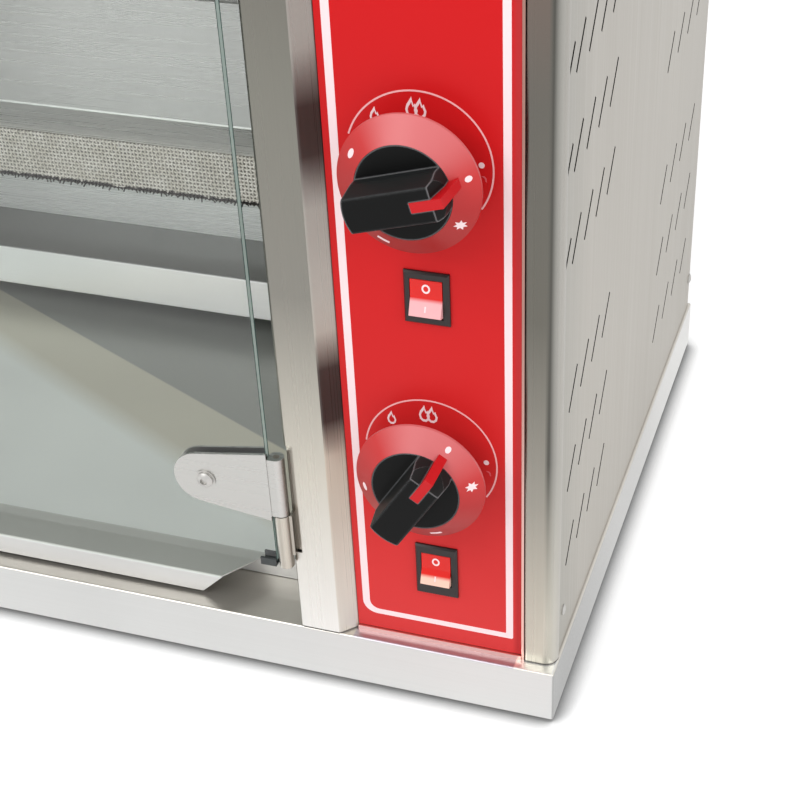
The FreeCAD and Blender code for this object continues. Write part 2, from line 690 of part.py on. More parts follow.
def skewer_forks():
    """Two sliding forks with their thumb screws; the prongs of each point at the other."""
    z = SKEWER_Z + STATIONS["upper"]
    solids = []
    for x, way in ((-250.0, -1), (-715.0, 1)):
        hub = rod(V(x - 8, SKEWER_Y, z), V(x + 8, SKEWER_Y, z), 12)
        bar = box(x - 3, x + 3, SKEWER_Y - 26, SKEWER_Y + 26, z - 4, z + 4)
        prongs = [rod(V(x, SKEWER_Y + s, z), V(x + way * 75, SKEWER_Y + s, z), 2.2) for s in (-22, 22)]
        hole = box(x - 12, x + 12, SKEWER_Y - 4.1, SKEWER_Y + 4.1, z - 4.1, z + 4.1)
        thread = rod(V(x + way * 5, SKEWER_Y, z), V(x + way * 5, SKEWER_Y, z + 20), 2.6)
        solids.append(joined([hub, bar] + prongs).cut(hole).cut(thread))
        screw = rod(V(x + way * 5, SKEWER_Y, z + 4.2), V(x + way * 5, SKEWER_Y, z + 16), 2.5)
        head = rod(V(x + way * 5, SKEWER_Y, z + 16), V(x + way * 5, SKEWER_Y, z + 24), 6)
        solids.append(joined([screw, head]))
    return group(solids)


# ---- mains inlet ----


def cable_gland():
    """The mains inlet: an empty gland in the back panel."""
    collar = rod(V(GLAND_X, BODY_BACK, GLAND_Z), V(GLAND_X, BODY_BACK + 8, GLAND_Z), 12)
    neck = rod(V(GLAND_X, BODY_BACK - 14, GLAND_Z), V(GLAND_X, BODY_BACK, GLAND_Z), 8)
    cap = rod(V(GLAND_X, BODY_BACK + 8, GLAND_Z), V(GLAND_X, BODY_BACK + 20, GLAND_Z), 10)
    bore = rod(V(GLAND_X, BODY_BACK - 20, GLAND_Z), V(GLAND_X, BODY_BACK + 30, GLAND_Z), 4.5)
    return joined([collar, neck, cap]).cut(bore)


# ---- doors: drawn for the right door and mirrored for the left one ----


def door_glass():
    left = DOORWAY_MID + DOOR_GAP / 2
    pane = box(left, GLASS_RIGHT, GLASS_FRONT, GLASS_BACK, GLASS_BOTTOM, GLASS_TOP)
    corners = [e for e in pane.Edges if e.BoundBox.YLength > 4]
    pane = pane.makeFillet(3.0, corners)
    places = [(CLAMP_X, HINGE_CENTRE), (CLAMP_X, 2 * MID_HEIGHT - HINGE_CENTRE)]
    places += [(left + HANDLE_INSET, z) for z in handle_heights()]
    holes = [rod(V(x, GLASS_FRONT - 1, z), V(x, GLASS_BACK + 1, z), GLASS_HOLE) for x, z in places]
    return pane.cut(group(holes))


def handle_heights():
    return (MID_HEIGHT - 55, MID_HEIGHT + 55)


def plate_outline(right, low, high):
    """A round left end that widens in straight lines to the hinge."""
    left, middle = PLATE_END_X, HINGE_CENTRE
    tangents = []
    for z in (high, low):
        across = V(right - left, z - middle, 0)
        angle = math.acos(PLATE_END_RADIUS / across.Length)
        base = math.atan2(across.y, across.x)
        turn = base + angle if z > middle else base - angle
        reach = (PLATE_END_RADIUS * math.cos(turn), PLATE_END_RADIUS * math.sin(turn))
        tangents.append((left + reach[0], middle + reach[1]))
    return [(right, low), (right, high)] + tangents


def clamp_plate(right, front, back):
    wedge = profile("front", plate_outline(right, 125.0, 173.0), front, back)
    disc = rod(V(PLATE_END_X, front, HINGE_CENTRE), V(PLATE_END_X, back, HINGE_CENTRE), PLATE_END_RADIUS)
    return joined([wedge, disc])


def on_pin(z0, z1, radius):
    return rod(V(HINGE_X, HINGE_Y, z0), V(HINGE_X, HINGE_Y, z1), radius)


def hinge_plates():
    """Outer plates with the knuckles that turn on the pins, and inner plates behind the glass."""
    plate = clamp_plate(-170.0, GLASS_FRONT - 2, GLASS_FRONT)
    low, front = KNUCKLE_JOINT + 0.3, HINGE_Y - KNUCKLE_RADIUS
    wrap = box(GLASS_RIGHT + 0.2, HINGE_X, front, front + 2, low, KNUCKLE_TOP)
    knuckle = on_pin(low, KNUCKLE_TOP, KNUCKLE_RADIUS)
    bore = on_pin(low - 1, KNUCKLE_TOP + 1, PIN_RADIUS + RUNNING)
    corner = box(-170.4, -160, -12, 4, 100, low)
    hole = rod(V(CLAMP_X, -12, HINGE_CENTRE), V(CLAMP_X, 5, HINGE_CENTRE), CLAMP_SHANK + RUNNING)
    outer = joined([plate, wrap, knuckle]).cut(bore).cut(corner).cut(hole)
    inner = clamp_plate(-172.5, GLASS_BACK, GLASS_BACK + 1.5).cut(hole)
    return group(both_hinges(outer) + both_hinges(inner))


def hinge_screws():
    """Clamp screws: a domed head and washer in front, a shank through the glass and a nut behind."""
    z = HINGE_CENTRE
    front = GLASS_FRONT - 2
    washer = rod(V(CLAMP_X, front - 0.8, z), V(CLAMP_X, front, z), 6.3)
    head = dome(V(CLAMP_X, front - 0.8, z), V(0, -1, 0), 5.0, 3.0)
    recess = rod(V(CLAMP_X, front - 6, z), V(CLAMP_X, front - 2.2, z), 2.2)
    shank = rod(V(CLAMP_X, front - 0.8, z), V(CLAMP_X, GLASS_BACK + 1.5, z), CLAMP_SHANK)
    nut = hexagon(V(CLAMP_X, GLASS_BACK + 1.5, z), V(CLAMP_X, GLASS_BACK + 4.5, z), 11)
    return group(both_hinges(joined([washer, head, shank, nut]).cut(recess)))


def door_handle():
    x = DOORWAY_MID + DOOR_GAP / 2 + HANDLE_INSET
    low, high = handle_heights()
    out = GLASS_FRONT - 27
    solids = [rod(V(x, out, low - 12), V(x, out, high + 12), 5.5)]
    for z in (low, high):
        solids.append(rod(V(x, out, z), V(x, GLASS_BACK + 3, z), CLAMP_SHANK))
        solids.append(rod(V(x, GLASS_FRONT - 3, z), V(x, GLASS_FRONT, z), 7))
        solids.append(hexagon(V(x, GLASS_BACK, z), V(x, GLASS_BACK + 4, z), 11))
    return joined(solids)


def door_shoe():
    """The dark pad round the glass's lower corner, on the hinge side."""
    pad = box(-181, -168.6, GLASS_FRONT - 1.5, GLASS_BACK + 1.5, GLASS_BOTTOM - 1.2, GLASS_BOTTOM + 4.0)
    pad = pad.cut(box(-190, GLASS_RIGHT + 0.1, GLASS_FRONT - 0.1, GLASS_BACK + 0.1, GLASS_BOTTOM - 0.1, 120))
    return pad.cut(box(-171.0, -160, HINGE_Y - 5.2, 10, 80, 120))


def hinge_leaves():
    """Outer knuckles on leaves that are fixed inside the posts, with the pins pressed in them."""
    top = KNUCKLE_JOINT - 0.3
    knuckle = on_pin(KNUCKLE_BOTTOM, top, KNUCKLE_RADIUS)
    neck = box(-163, -159.2, HINGE_Y - 1, HINGE_Y + 2.5, 98, top)
    leaf = box(-161.1, -159.2, HINGE_Y, 30, 98, top)
    backing = box(-161.1, -157.0, 2.0, 4.0, 98, 175)
    pin = on_pin(KNUCKLE_BOTTOM, KNUCKLE_TOP, PIN_RADIUS)
    right = both_hinges(joined([knuckle, neck, leaf, backing, pin]))
    return group(right + [mirrored(solid, DOORWAY_MID) for solid in right])


# ---- write every piece ----

PIECES = {
    "plinth": plinth(),
    "feet": feet(),
    "side_panel_right": side_panel(),
    "side_panel_left": mirrored(side_panel(), MID_X),
    "back_panel": back_panel(),
    "top_cover": top_cover(),
    "corner_column": corner_column(),
    "door_post_right": door_post_right(),
    "door_post_left": door_post_left(),
    "header_rail": header_rail(),
    "cabinet_screws": cabinet_screws(),
    "control_panel": control_panel(),
    "panel_frame": panel_frame(),
    "gas_manifold": gas_manifold(),
    "gas_tubes": gas_tubes(),
    "chamber_back": chamber_back(),
    "chamber_right": chamber_right(),
    "chamber_left": chamber_left(),
    "chamber_ceiling": chamber_ceiling(),
    "ledge": ledge(),
    "tray_guides": group([tray_guide(), mirrored(tray_guide(), DOORWAY_MID)]),
    "drip_tray": drip_tray(),
    "motor_bracket": motor_bracket(),
    "skewer_cradles": group([skewer_cradle(rise) for rise in STATIONS.values()]),
    "skewer_rod": skewer_rod(),
    "skewer_forks": skewer_forks(),
    "cable_gland": cable_gland(),
    "ceramic_plaques": group([ceramic_plaque(rise) for rise in STATIONS.values()]),
    "hinge_leaves": hinge_leaves(),
    "burner_hoods": group([burner_hood(rise, top) for rise, top in HOODS]),
    "burner_bodies": group([burner_body(rise) for rise in STATIONS.values()]),
    "burner_meshes": group([burner_mesh(rise) for rise in STATIONS.values()]),
    "switch_housings": group([switch_housing(where) for where in SWITCHES]),
}

for where, rise in STATIONS.items():
    PIECES["knob_skirt_" + where] = turned(knob_skirt(), where)
    PIECES["knob_grip_" + where] = turned(knob_grip(), where)
    PIECES["knob_pointer_" + where] = turned(knob_pointer(), where)
    PIECES["valve_stem_" + where] = turned(valve_stem(), where)
    PIECES["gas_valve_" + where] = gas_valve(where)
    PIECES["switch_rocker_" + where] = switch_rocker(where)
    PIECES["gear_motor_" + where] = gear_motor(rise)
    PIECES["drive_socket_" + where] = drive_socket(rise)

DOOR_PIECES = {"door_glass": door_glass(), "hinge_plates": hinge_plates()}
DOOR_PIECES |= {"hinge_screws": hinge_screws(), "door_shoe": door_shoe(), "door_handle": door_handle()}
for name, shape in DOOR_PIECES.items():
    PIECES[name + "_right"] = shape
    PIECES[name + "_left"] = mirrored(shape, DOORWAY_MID)

for name, shape in PIECES.items():
    save(name, shape)
print(len(PIECES), "pieces")
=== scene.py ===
# %% [markdown]
# # A skewer grill, dressed in Blender
#
# The real object is a worktop grill: a folded stainless cabinet, glass doors in front of two radiant
# burners, and a red control panel at the right. Its solids come ready made. This lesson gives each
# one a finish and adds what solids can't hold well: woven wire, ink, light.

# %% Load the solids
import math
import bmesh
import bpy
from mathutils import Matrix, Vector


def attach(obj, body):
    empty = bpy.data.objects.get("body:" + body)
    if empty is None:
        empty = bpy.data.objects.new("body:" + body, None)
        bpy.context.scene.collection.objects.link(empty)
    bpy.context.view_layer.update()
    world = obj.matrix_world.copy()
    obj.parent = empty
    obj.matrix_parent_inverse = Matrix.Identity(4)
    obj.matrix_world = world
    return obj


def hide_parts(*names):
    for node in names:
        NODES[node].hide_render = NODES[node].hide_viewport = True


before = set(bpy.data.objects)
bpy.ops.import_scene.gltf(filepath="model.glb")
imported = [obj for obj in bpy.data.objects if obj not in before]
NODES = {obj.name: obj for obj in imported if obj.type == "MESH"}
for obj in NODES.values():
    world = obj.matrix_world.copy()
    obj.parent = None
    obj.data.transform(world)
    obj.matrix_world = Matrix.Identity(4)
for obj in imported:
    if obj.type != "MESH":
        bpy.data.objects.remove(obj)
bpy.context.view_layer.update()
MM = 0.001
CORNER = Vector((0.430, -0.225, 0.003))


def at(x, y, z):
    """A point in metres from millimetres right of, behind and above the plinth's front right corner."""
    return CORNER + Vector((x, y, z)) * MM


def metres(axis, millimetres):
    """One coordinate of at(), by the name of its axis."""
    return at(millimetres, millimetres, millimetres)["XYZ".index(axis)]


# %% [markdown]
# ## Camera
#
# A product shot is taken with a long lens from above the right corner, so that the verticals lean only
# a little. The shift moves the picture without turning the camera.

# %% Camera
lens = bpy.data.cameras.new("camera")
lens.lens = 73.516
lens.sensor_width = 36
lens.shift_x = -0.0634
lens.shift_y = 0.0449
camera = bpy.data.objects.new("camera", lens)
camera.location = (0.59875, -0.91915, 0.72671)
camera.rotation_euler = [math.radians(a) for a in (54.476, 1.369, 17.287)]
bpy.context.collection.objects.link(camera)
bpy.context.scene.camera = camera
bpy.context.scene.view_settings.view_transform = "Standard"
print("camera at", tuple(camera.location))

# %% [markdown]
# ## Node helpers
#
# Every material and every node tree below is a handful of nodes. One helper makes a node, fills its
# inputs and links them, so that a recipe reads from the inside out.


# %% Nodes and materials
def fill(tree, socket, value):
    """Links another node's output to a socket, or sets the socket to a plain value."""
    if isinstance(value, bpy.types.NodeSocket):
        tree.links.new(value, socket)
    else:
        socket.default_value = value


def node(tree, kind, inputs=None, **settings):
    """Adds a node with its settings, and fills its inputs, which go by name or by number."""
    made = tree.nodes.new(kind)
    for name, value in settings.items():
        setattr(made, name, value)
    for key, value in (inputs or {}).items():
        fill(tree, made.inputs[key], value)
    return made


def material(name, colour, rough, metal=0.0, **sockets):
    """A material with one Principled shader. Returns it, its tree and its shader."""
    made = bpy.data.materials.new(name)
    made.use_nodes = True
    shader = made.node_tree.nodes["Principled BSDF"]
    values = {"Base Color": (*colour, 1), "Roughness": rough, "Metallic": metal}
    for key, value in {**values, **sockets}.items():
        shader.inputs[key].default_value = value
    return made, made.node_tree, shader


def bump(tree, shader, height, strength, distance):
    """Tilts the light on a surface as if it rose and fell with a height."""
    inputs = {"Height": height, "Strength": strength, "Distance": distance}
    fill(tree, shader.inputs["Normal"], node(tree, "ShaderNodeBump", inputs).outputs[0])


# %% [markdown]
# A recipe begins with a value that changes over the piece: a noise, a place or the direction that the
# surface faces. They are the piece's own, so a finish moves along with its door or tray.


# %% Values
def noise(tree, waves, detail=3.0):
    """Noise from 0 to 1, with so many waves per metre, as one number or as one for each axis."""
    scale = waves if isinstance(waves, tuple) else (waves, waves, waves)
    place = node(tree, "ShaderNodeTexCoord").outputs["Object"]
    mapped = node(tree, "ShaderNodeMapping", {"Vector": place, "Scale": scale}).outputs[0]
    return node(tree, "ShaderNodeTexNoise", {"Vector": mapped, "Scale": 1.0, "Detail": detail}).outputs["Fac"]


def along(tree, kind, output, axis):
    """One axis of a vector that an input node gives."""
    vector = node(tree, kind).outputs[output]
    return node(tree, "ShaderNodeSeparateXYZ", {"Vector": vector}).outputs[axis]


def coordinate(tree, axis):
    """One of the piece's own coordinates, in metres from the frame's origin."""
    return along(tree, "ShaderNodeTexCoord", "Object", axis)


def facing(tree, axis):
    """How far the surface faces along one of the piece's own axes, from -1 to 1."""
    return along(tree, "ShaderNodeTexCoord", "Normal", axis)


def turned_to(tree, axis):
    """The same for an axis of the room, for light that stays put as a knob turns."""
    return along(tree, "ShaderNodeNewGeometry", "Normal", axis)


# %% [markdown]
# Then the value is shaped, by arithmetic and soft limits, and becomes a colour.


# %% From values to colours
def maths(tree, operation, first, second=0.0):
    """Adds, multiplies or compares two values, or changes the first alone."""
    return node(tree, "ShaderNodeMath", {0: first, 1: second}, operation=operation).outputs[0]


def spread(tree, value, low, high, start=0.3, stop=0.7):
    """Maps start to low and stop to high. Left out, start and stop hold the middle part of a noise."""
    inputs = {"Value": value, "From Min": start, "From Max": stop, "To Min": low, "To Max": high}
    return node(tree, "ShaderNodeMapRange", inputs).outputs["Result"]


def over(tree, value, limit, soft=0.0005):
    """0 below a limit and 1 above it, with a soft change between."""
    return spread(tree, value, 0.0, 1.0, limit - soft, limit + soft)


def under(tree, value, limit, soft=0.0005):
    """1 below a limit and 0 above it, with a soft change between."""
    return spread(tree, value, 1.0, 0.0, limit - soft, limit + soft)


def blend(tree, factor, first, second, mode="MIX"):
    """Mixes two colours, each a tuple or another node's output."""
    first, second = ((*tone, 1) if isinstance(tone, tuple) else tone for tone in (first, second))
    inputs = {0: factor, 6: first, 7: second}  # this node has a pair of sockets for each kind of data
    return node(tree, "ShaderNodeMix", inputs, data_type="RGBA", blend_type=mode).outputs[2]


def ramp(tree, value, start, stop, tones):
    """Colours spaced evenly from one value to the other, as a smooth run of tones."""
    stretched = spread(tree, value, 0.0, 1.0, start, stop)
    made = node(tree, "ShaderNodeValToRGB", {"Fac": stretched})
    points = made.color_ramp.elements
    while len(points) < len(tones):
        points.new(0.5)
    for i in range(len(tones)):
        points[i].position = i / (len(tones) - 1)
    for point, tone in zip(points, tones):  # only now, as the points sort themselves when they move
        point.color = (*tone, 1)
    return made.outputs["Color"]


# %% [markdown]
# ## Light
#
# A white floor under a wide, soft light is the plainest studio. Rays that look at the backdrop see it
# white, while the light that falls on the object is a little weaker near the horizon than overhead.
# Right beside the plinth the floor's colour and glow are painted darker, a painted contact shadow that
# makes the object stand on it: an Ambient Occlusion node measures how open each place is.


# %% Floor
def seen_ray(tree):
    """1 for the rays that look at the backdrop: from the camera, off metal or through glass."""
    path = node(tree, "ShaderNodeLightPath").outputs
    looking = maths(tree, "MAXIMUM", path["Is Camera Ray"], path["Is Glossy Ray"])
    return maths(tree, "MAXIMUM", looking, path["Is Transmission Ray"])


HALF_FLOOR = 7.0
FLOOR_WHITE, FLOOR_SHADE = (0.90, 0.90, 0.90), (0.30, 0.30, 0.30)
SHADE_REACH = 0.016
GLOW = 0.30

floor_mesh = bpy.data.meshes.new("floor")
signs = ((-1, -1), (1, -1), (1, 1), (-1, 1))
floor_mesh.from_pydata([(a * HALF_FLOOR, b * HALF_FLOOR, 0) for a, b in signs], [], [(0, 1, 2, 3)])
floor = bpy.data.objects.new("floor", floor_mesh)
bpy.context.collection.objects.link(floor)
floor_paint, tree, shader = material("floor_white", FLOOR_WHITE, 0.9, **{"Specular IOR Level": 0.1})
# Painted contact shadow: the floor's colour and glow darken beside the plinth, as the camera sees them.
openness = node(tree, "ShaderNodeAmbientOcclusion", {"Distance": SHADE_REACH}, samples=16).outputs["AO"]
unseen = maths(tree, "SUBTRACT", 1.0, node(tree, "ShaderNodeLightPath").outputs["Is Camera Ray"])
clear_floor = maths(tree, "MAXIMUM", spread(tree, openness, 0.0, 1.0, 0.50, 0.96), unseen)
fill(tree, shader.inputs["Base Color"], blend(tree, clear_floor, FLOOR_SHADE, FLOOR_WHITE))
shader.inputs["Emission Color"].default_value = (1, 1, 1, 1)
glow = maths(tree, "MULTIPLY", maths(tree, "MULTIPLY", seen_ray(tree), GLOW), clear_floor)
fill(tree, shader.inputs["Emission Strength"], glow)
floor_mesh.materials.append(floor_paint)
print("floor", 2 * HALF_FLOOR, "m wide")

# %% [markdown]
# The sky is the large, soft light. Two lamps beside it give the steel its gleams: a square one at the
# front left, and a weaker one at the right.

# %% Sky and lamps
sky = bpy.data.worlds.new("sky")
bpy.context.scene.world = sky
sky.use_nodes = True
tree = sky.node_tree
tree.nodes.clear()
rising = spread(tree, along(tree, "ShaderNodeTexCoord", "Generated", "Z"), 0.0, 1.0, -0.05, 0.75)
tone = blend(tree, rising, (0.62, 0.61, 0.59), (0.92, 0.93, 0.94))
lit = node(tree, "ShaderNodeBackground", {"Color": tone, "Strength": 0.85})
seen = node(tree, "ShaderNodeBackground", {"Color": (1, 1, 1, 1), "Strength": 1.0})
both = node(tree, "ShaderNodeMixShader", {0: seen_ray(tree), 1: lit.outputs[0], 2: seen.outputs[0]})
node(tree, "ShaderNodeOutputWorld", {"Surface": both.outputs[0]})


def softbox(name, place, aim, size, watts):
    """A square lamp at a place, turned to the point that it lights."""
    lamp = bpy.data.lights.new(name, "AREA")
    lamp.size = size
    lamp.energy = watts
    holder = bpy.data.objects.new(name, lamp)
    holder.location = place
    holder.rotation_euler = (Vector(aim) - Vector(place)).to_track_quat("-Z", "Y").to_euler()
    bpy.context.collection.objects.link(holder)
    print(name, "lamp of", watts, "W")


softbox("key", (-0.9, -1.7, 2.1), (0.0, 0.0, 0.2), 1.6, 34)
softbox("fill", (1.9, -0.9, 1.5), (0.1, 0.0, 0.2), 1.4, 16)

# %% [markdown]
# ## Brushed steel
#
# Stainless sheet is ground in one direction. Fine noise, drawn out along the grain, gives its streaks
# and its small changes of gloss, and a slow noise gives the soft tones of a sheet that isn't quite flat.

# %% Brushed steel
GRAIN = {"x": (4, 900, 900), "y": (900, 4, 900), "z": (900, 900, 4)}
CLOUDS = (7, 7, 3)
SHEET_FOOT, SHEET_HEAD = 0.04, 0.52
MATT_METAL = 0.3


def paint(tree, tones):
    """One tone, a list of them that runs up from the plinth to the cover, or a function's own colour."""
    if callable(tones):
        return tones(tree)
    if isinstance(tones, tuple):
        return tones
    return ramp(tree, coordinate(tree, "Z"), SHEET_FOOT, SHEET_HEAD, tones)


def brushed(
    name, tones, grain, rough=0.32, contrast=0.10, cloud=0.10, depth=0.05, metal=1.0, patches=(), matt=None
):
    """Steel with streaks along its grain, slow clouds across it, and a relief of some depth.

    A patch is a mask and its own tones. Matt is the mask of a duller finish.
    """
    made, tree, shader = material(name, (0.5, 0.5, 0.5), rough, metal=metal)
    fine = noise(tree, GRAIN[grain], detail=2.0)
    slow = noise(tree, CLOUDS, detail=1.0)
    body = paint(tree, tones)
    for mask, others in patches:
        body = blend(tree, mask(tree), body, paint(tree, others))
    streaks = blend(tree, spread(tree, fine, 0, 1), (1 - contrast,) * 3, (1.0, 1.0, 1.0))
    clouds = blend(tree, spread(tree, slow, 0, 1), (1 - cloud,) * 3, (1.0, 1.0, 1.0))
    grain_tone = blend(tree, 1.0, streaks, clouds, "MULTIPLY")
    fill(tree, shader.inputs["Base Color"], blend(tree, 1.0, grain_tone, body, "MULTIPLY"))
    fill(tree, shader.inputs["Roughness"], spread(tree, fine, rough * 0.85, rough * 1.2))
    if matt:
        fill(tree, shader.inputs["Metallic"], spread(tree, matt(tree), metal, MATT_METAL, 0.0, 1.0))
    bump(tree, shader, fine, depth, 0.0005)
    return made


# %% [markdown]
# Each face of a folded sheet gets its own painted tone, for the light and shade that fall on it. A mask
# is 1 where a tone belongs and 0 elsewhere, and the first kind picks faces by their direction.


# %% Masks by direction
def overlap(tree, *masks):
    """Where all of these masks are 1."""
    whole = masks[0]
    for mask in masks[1:]:
        whole = maths(tree, "MULTIPLY", whole, mask)
    return whole


def rightward(tree):
    """The faces on the right."""
    return over(tree, facing(tree, "X"), 0.5, 0.2)


def upward(tree):
    """The faces on top."""
    return over(tree, facing(tree, "Z"), 0.5, 0.2)


def downward(tree):
    """The faces underneath, and slopes that look down."""
    return under(tree, facing(tree, "Z"), -0.2, 0.1)


def sideways(tree):
    """How far the surface faces left or right, from 0 to 1."""
    return maths(tree, "ABSOLUTE", facing(tree, "X"))


def cut_edge(tree):
    """The walls of the slits in a side panel, which lie in their own shade."""
    return under(tree, sideways(tree), 0.5, 0.1)


def bend(tree):
    """The round corner between a column's front and its side."""
    return over(tree, facing(tree, "X"), 0.10, 0.08)


def slanting(tree):
    """The folds that face half to the front and half to the right."""
    right = facing(tree, "X")
    return overlap(tree, over(tree, right, 0.25, 0.05), under(tree, right, 0.93, 0.03))


# %% [markdown]
# The second kind picks what lies within spans along the axes. It also paints the shadows and
# reflections of a neighbour that the soft studio light leaves out.


# %% Masks by place
def between(tree, axis, low, high, soft=0.0005):
    """A mask for a span along one axis, in the millimetres of at()."""
    value = coordinate(tree, axis)
    start, stop = metres(axis, low), metres(axis, high)
    return overlap(tree, over(tree, value, start, soft), under(tree, value, stop, soft))


def region(*spans, sides=()):
    """Makes a mask for what lies within all of these spans, on faces that the masks of sides pick."""

    def mask(tree):
        return overlap(tree, *(between(tree, *span) for span in spans), *(side(tree) for side in sides))

    return mask


# Painted shade on the plinth's top just in front of the red panel, and a painted highlight in front of the
# corner column.
painted_shade_before_panel = region(("X", -128, -25), sides=[upward])
painted_highlight_before_column = region(("X", -25, -1), ("Y", 1, 14), sides=[upward])
# Painted shade on the strip of the tray in front of its rim, which leans forward to the lip.
painted_shade_on_tray_rim = region(("Y", 5, 44, 0.004), sides=[upward])
# Painted light on the strip of the back wall between the ledge and a burner.
painted_light_under_mesh = region(("Z", 90, 129.5), ("Y", 355, 365))


def foot(tree):
    """The shadow line where a sheet stands on the plinth."""
    return under(tree, coordinate(tree, "Z"), metres("Z", 37.6), 0.0004)


def painted_grip_reflections(tree):
    """Painted reflections of the two knobs' black grips: soft dark bands on the post's slanting fold."""
    both = maths(tree, "ADD", between(tree, "Z", 345, 402, 0.015), between(tree, "Z", 184, 243, 0.012))
    return overlap(tree, both, slanting(tree))


def painted_fold_highlight(tree):
    """A painted highlight: the bright line where a hood's slope turns up."""
    lines = maths(tree, "ADD", between(tree, "Z", 204.6, 207.4), between(tree, "Z", 399.6, 402.4))
    return overlap(tree, lines, between(tree, "Y", 325, 334))


def beyond(slope, limit, soft):
    """Makes a mask for what is past a slanting line on a floor: y + slope * x above a limit, as in at()."""
    start = limit * MM + CORNER.y + slope * CORNER.x

    def mask(tree):
        drift = maths(tree, "MULTIPLY", coordinate(tree, "X"), slope)
        line = maths(tree, "ADD", coordinate(tree, "Y"), drift)
        return overlap(tree, over(tree, line, start, soft), upward(tree))

    return mask


# %% [markdown]
# A round corner or a hinge barrel mirrors its surroundings as upright bands, so its painted
# reflections run with the direction that the surface faces. A long sheet whose painted light
# grows toward one end has tones that run with the place.


# %% Running tones
def bands(start, stop, tones):
    """Makes a paint that follows how far the surface faces right."""
    return lambda tree: ramp(tree, facing(tree, "X"), start, stop, tones)


def run(axis, start, stop, tones):
    """Makes a paint that runs along an axis, in the millimetres of at()."""
    return lambda tree: ramp(tree, coordinate(tree, axis), metres(axis, start), metres(axis, stop), tones)


corner_high = bands(0.05, 1.0, [
    (0.13, 0.125, 0.11), (0.085, 0.083, 0.074), (0.24, 0.235, 0.215), (0.34, 0.33, 0.305),
    (0.40, 0.382, 0.35),
])
corner_low = bands(0.05, 1.0, [
    (0.54, 0.51, 0.44), (0.47, 0.45, 0.39), (0.48, 0.46, 0.40), (0.50, 0.48, 0.43), (0.46, 0.44, 0.40),
])
barrel = bands(-0.9, 0.95, [
    (0.80, 0.81, 0.79), (0.92, 0.92, 0.90), (0.525, 0.515, 0.50), (0.60, 0.60, 0.58),
    (0.46, 0.43, 0.41), (0.20, 0.18, 0.16),
])
knuckle = bands(-0.9, 0.95, [
    (0.90, 0.91, 0.89), (0.74, 0.71, 0.65), (0.55, 0.51, 0.45), (0.80, 0.76, 0.67),
    (0.56, 0.52, 0.45), (0.22, 0.20, 0.17),
])


def corner(tree):
    """The column's round corner, which has other bands near the plinth."""
    low = under(tree, coordinate(tree, "Z"), 0.13, 0.06)
    return blend(tree, low, corner_high(tree), corner_low(tree))


# %% [markdown]
# The plinth, the posts and the column stand in front. They are folded from one sheet each, polished a
# little more than the panels behind them.

# %% Steel in front
# Painted reflections: these runs of tones from the plinth up to the cover lay painted reflections over the
# steel's own grey, darker toward the cover and reddish on the frame and the column's head beside the red
# panel.
POST_REFLECTED_TONES = [
    (0.77, 0.76, 0.73), (0.55, 0.52, 0.455), (0.235, 0.225, 0.20), (0.195, 0.19, 0.165),
    (0.145, 0.134, 0.118),
]
CHAMFER_REFLECTED_TONES = [
    (0.66, 0.63, 0.57), (0.56, 0.48, 0.39), (0.41, 0.38, 0.34), (0.33, 0.31, 0.28), (0.27, 0.23, 0.21),
]
COLUMN_REFLECTED_TONES = [
    (0.545, 0.51, 0.435), (0.295, 0.28, 0.245), (0.136, 0.13, 0.112), (0.132, 0.125, 0.11),
    (0.184, 0.126, 0.106),
]
FRAME_REFLECTED_TONES = [
    (0.80, 0.50, 0.44), (0.60, 0.38, 0.34), (0.37, 0.21, 0.18), (0.34, 0.19, 0.16), (0.34, 0.19, 0.16),
]
LINE = (0.09, 0.085, 0.08)
FINISH = {
    "plinth": brushed(
        "plinth_steel", (0.62, 0.62, 0.61), "x", rough=0.34, contrast=0.04, depth=0.02, metal=0.85,
        patches=[
            # Painted light: the right side is painted darker at the front and lighter toward the back, and
            # the top in a warmer tone of its own.
            (rightward, run("Y", 0, 480, [(0.36, 0.36, 0.355), (0.80, 0.795, 0.78)])),
            (upward, (0.66, 0.63, 0.575)),
            (painted_shade_before_panel, (0.50, 0.47, 0.52)),
            (painted_highlight_before_column, (0.96, 0.97, 0.95)),
        ],
    ),
    "post": brushed(
        "post_steel", POST_REFLECTED_TONES, "z", rough=0.3, contrast=0.05, depth=0.015, matt=slanting,
        patches=[(slanting, CHAMFER_REFLECTED_TONES), (painted_grip_reflections, (0.062, 0.042, 0.037)), (foot, LINE)],
    ),
    "column": brushed(
        "column_steel", COLUMN_REFLECTED_TONES, "z", rough=0.3, contrast=0.06, patches=[(bend, corner), (foot, LINE)]
    ),
    "frame": brushed("frame_steel", FRAME_REFLECTED_TONES, "z", rough=0.35, contrast=0.03, cloud=0.03),
}
print(len(FINISH), "finishes for the front")

# %% [markdown]
# The side panels, the back and the cover are plain sheets. A side panel has painted shade near its front
# edge, and its slits are cut through, with their walls painted dark as shade.

# %% Steel panels
# Painted shade: darker near the front edge, and dark walls in the slits.
FINISH["side"] = brushed(
    "side_steel", run("Y", 18, 75, [(0.38, 0.365, 0.33), (0.445, 0.42, 0.38)]), "z",
    rough=0.45, contrast=0.025, cloud=0.05, depth=0.02, patches=[(cut_edge, (0.03, 0.028, 0.025))],
)
FINISH["back"] = brushed("back_steel", (0.457, 0.435, 0.395), "z", rough=0.45, contrast=0.05, cloud=0.05)
FINISH["across"] = brushed("cover_steel", (0.60, 0.58, 0.54), "x", rough=0.32)
print(len(FINISH), "finishes with the panels")
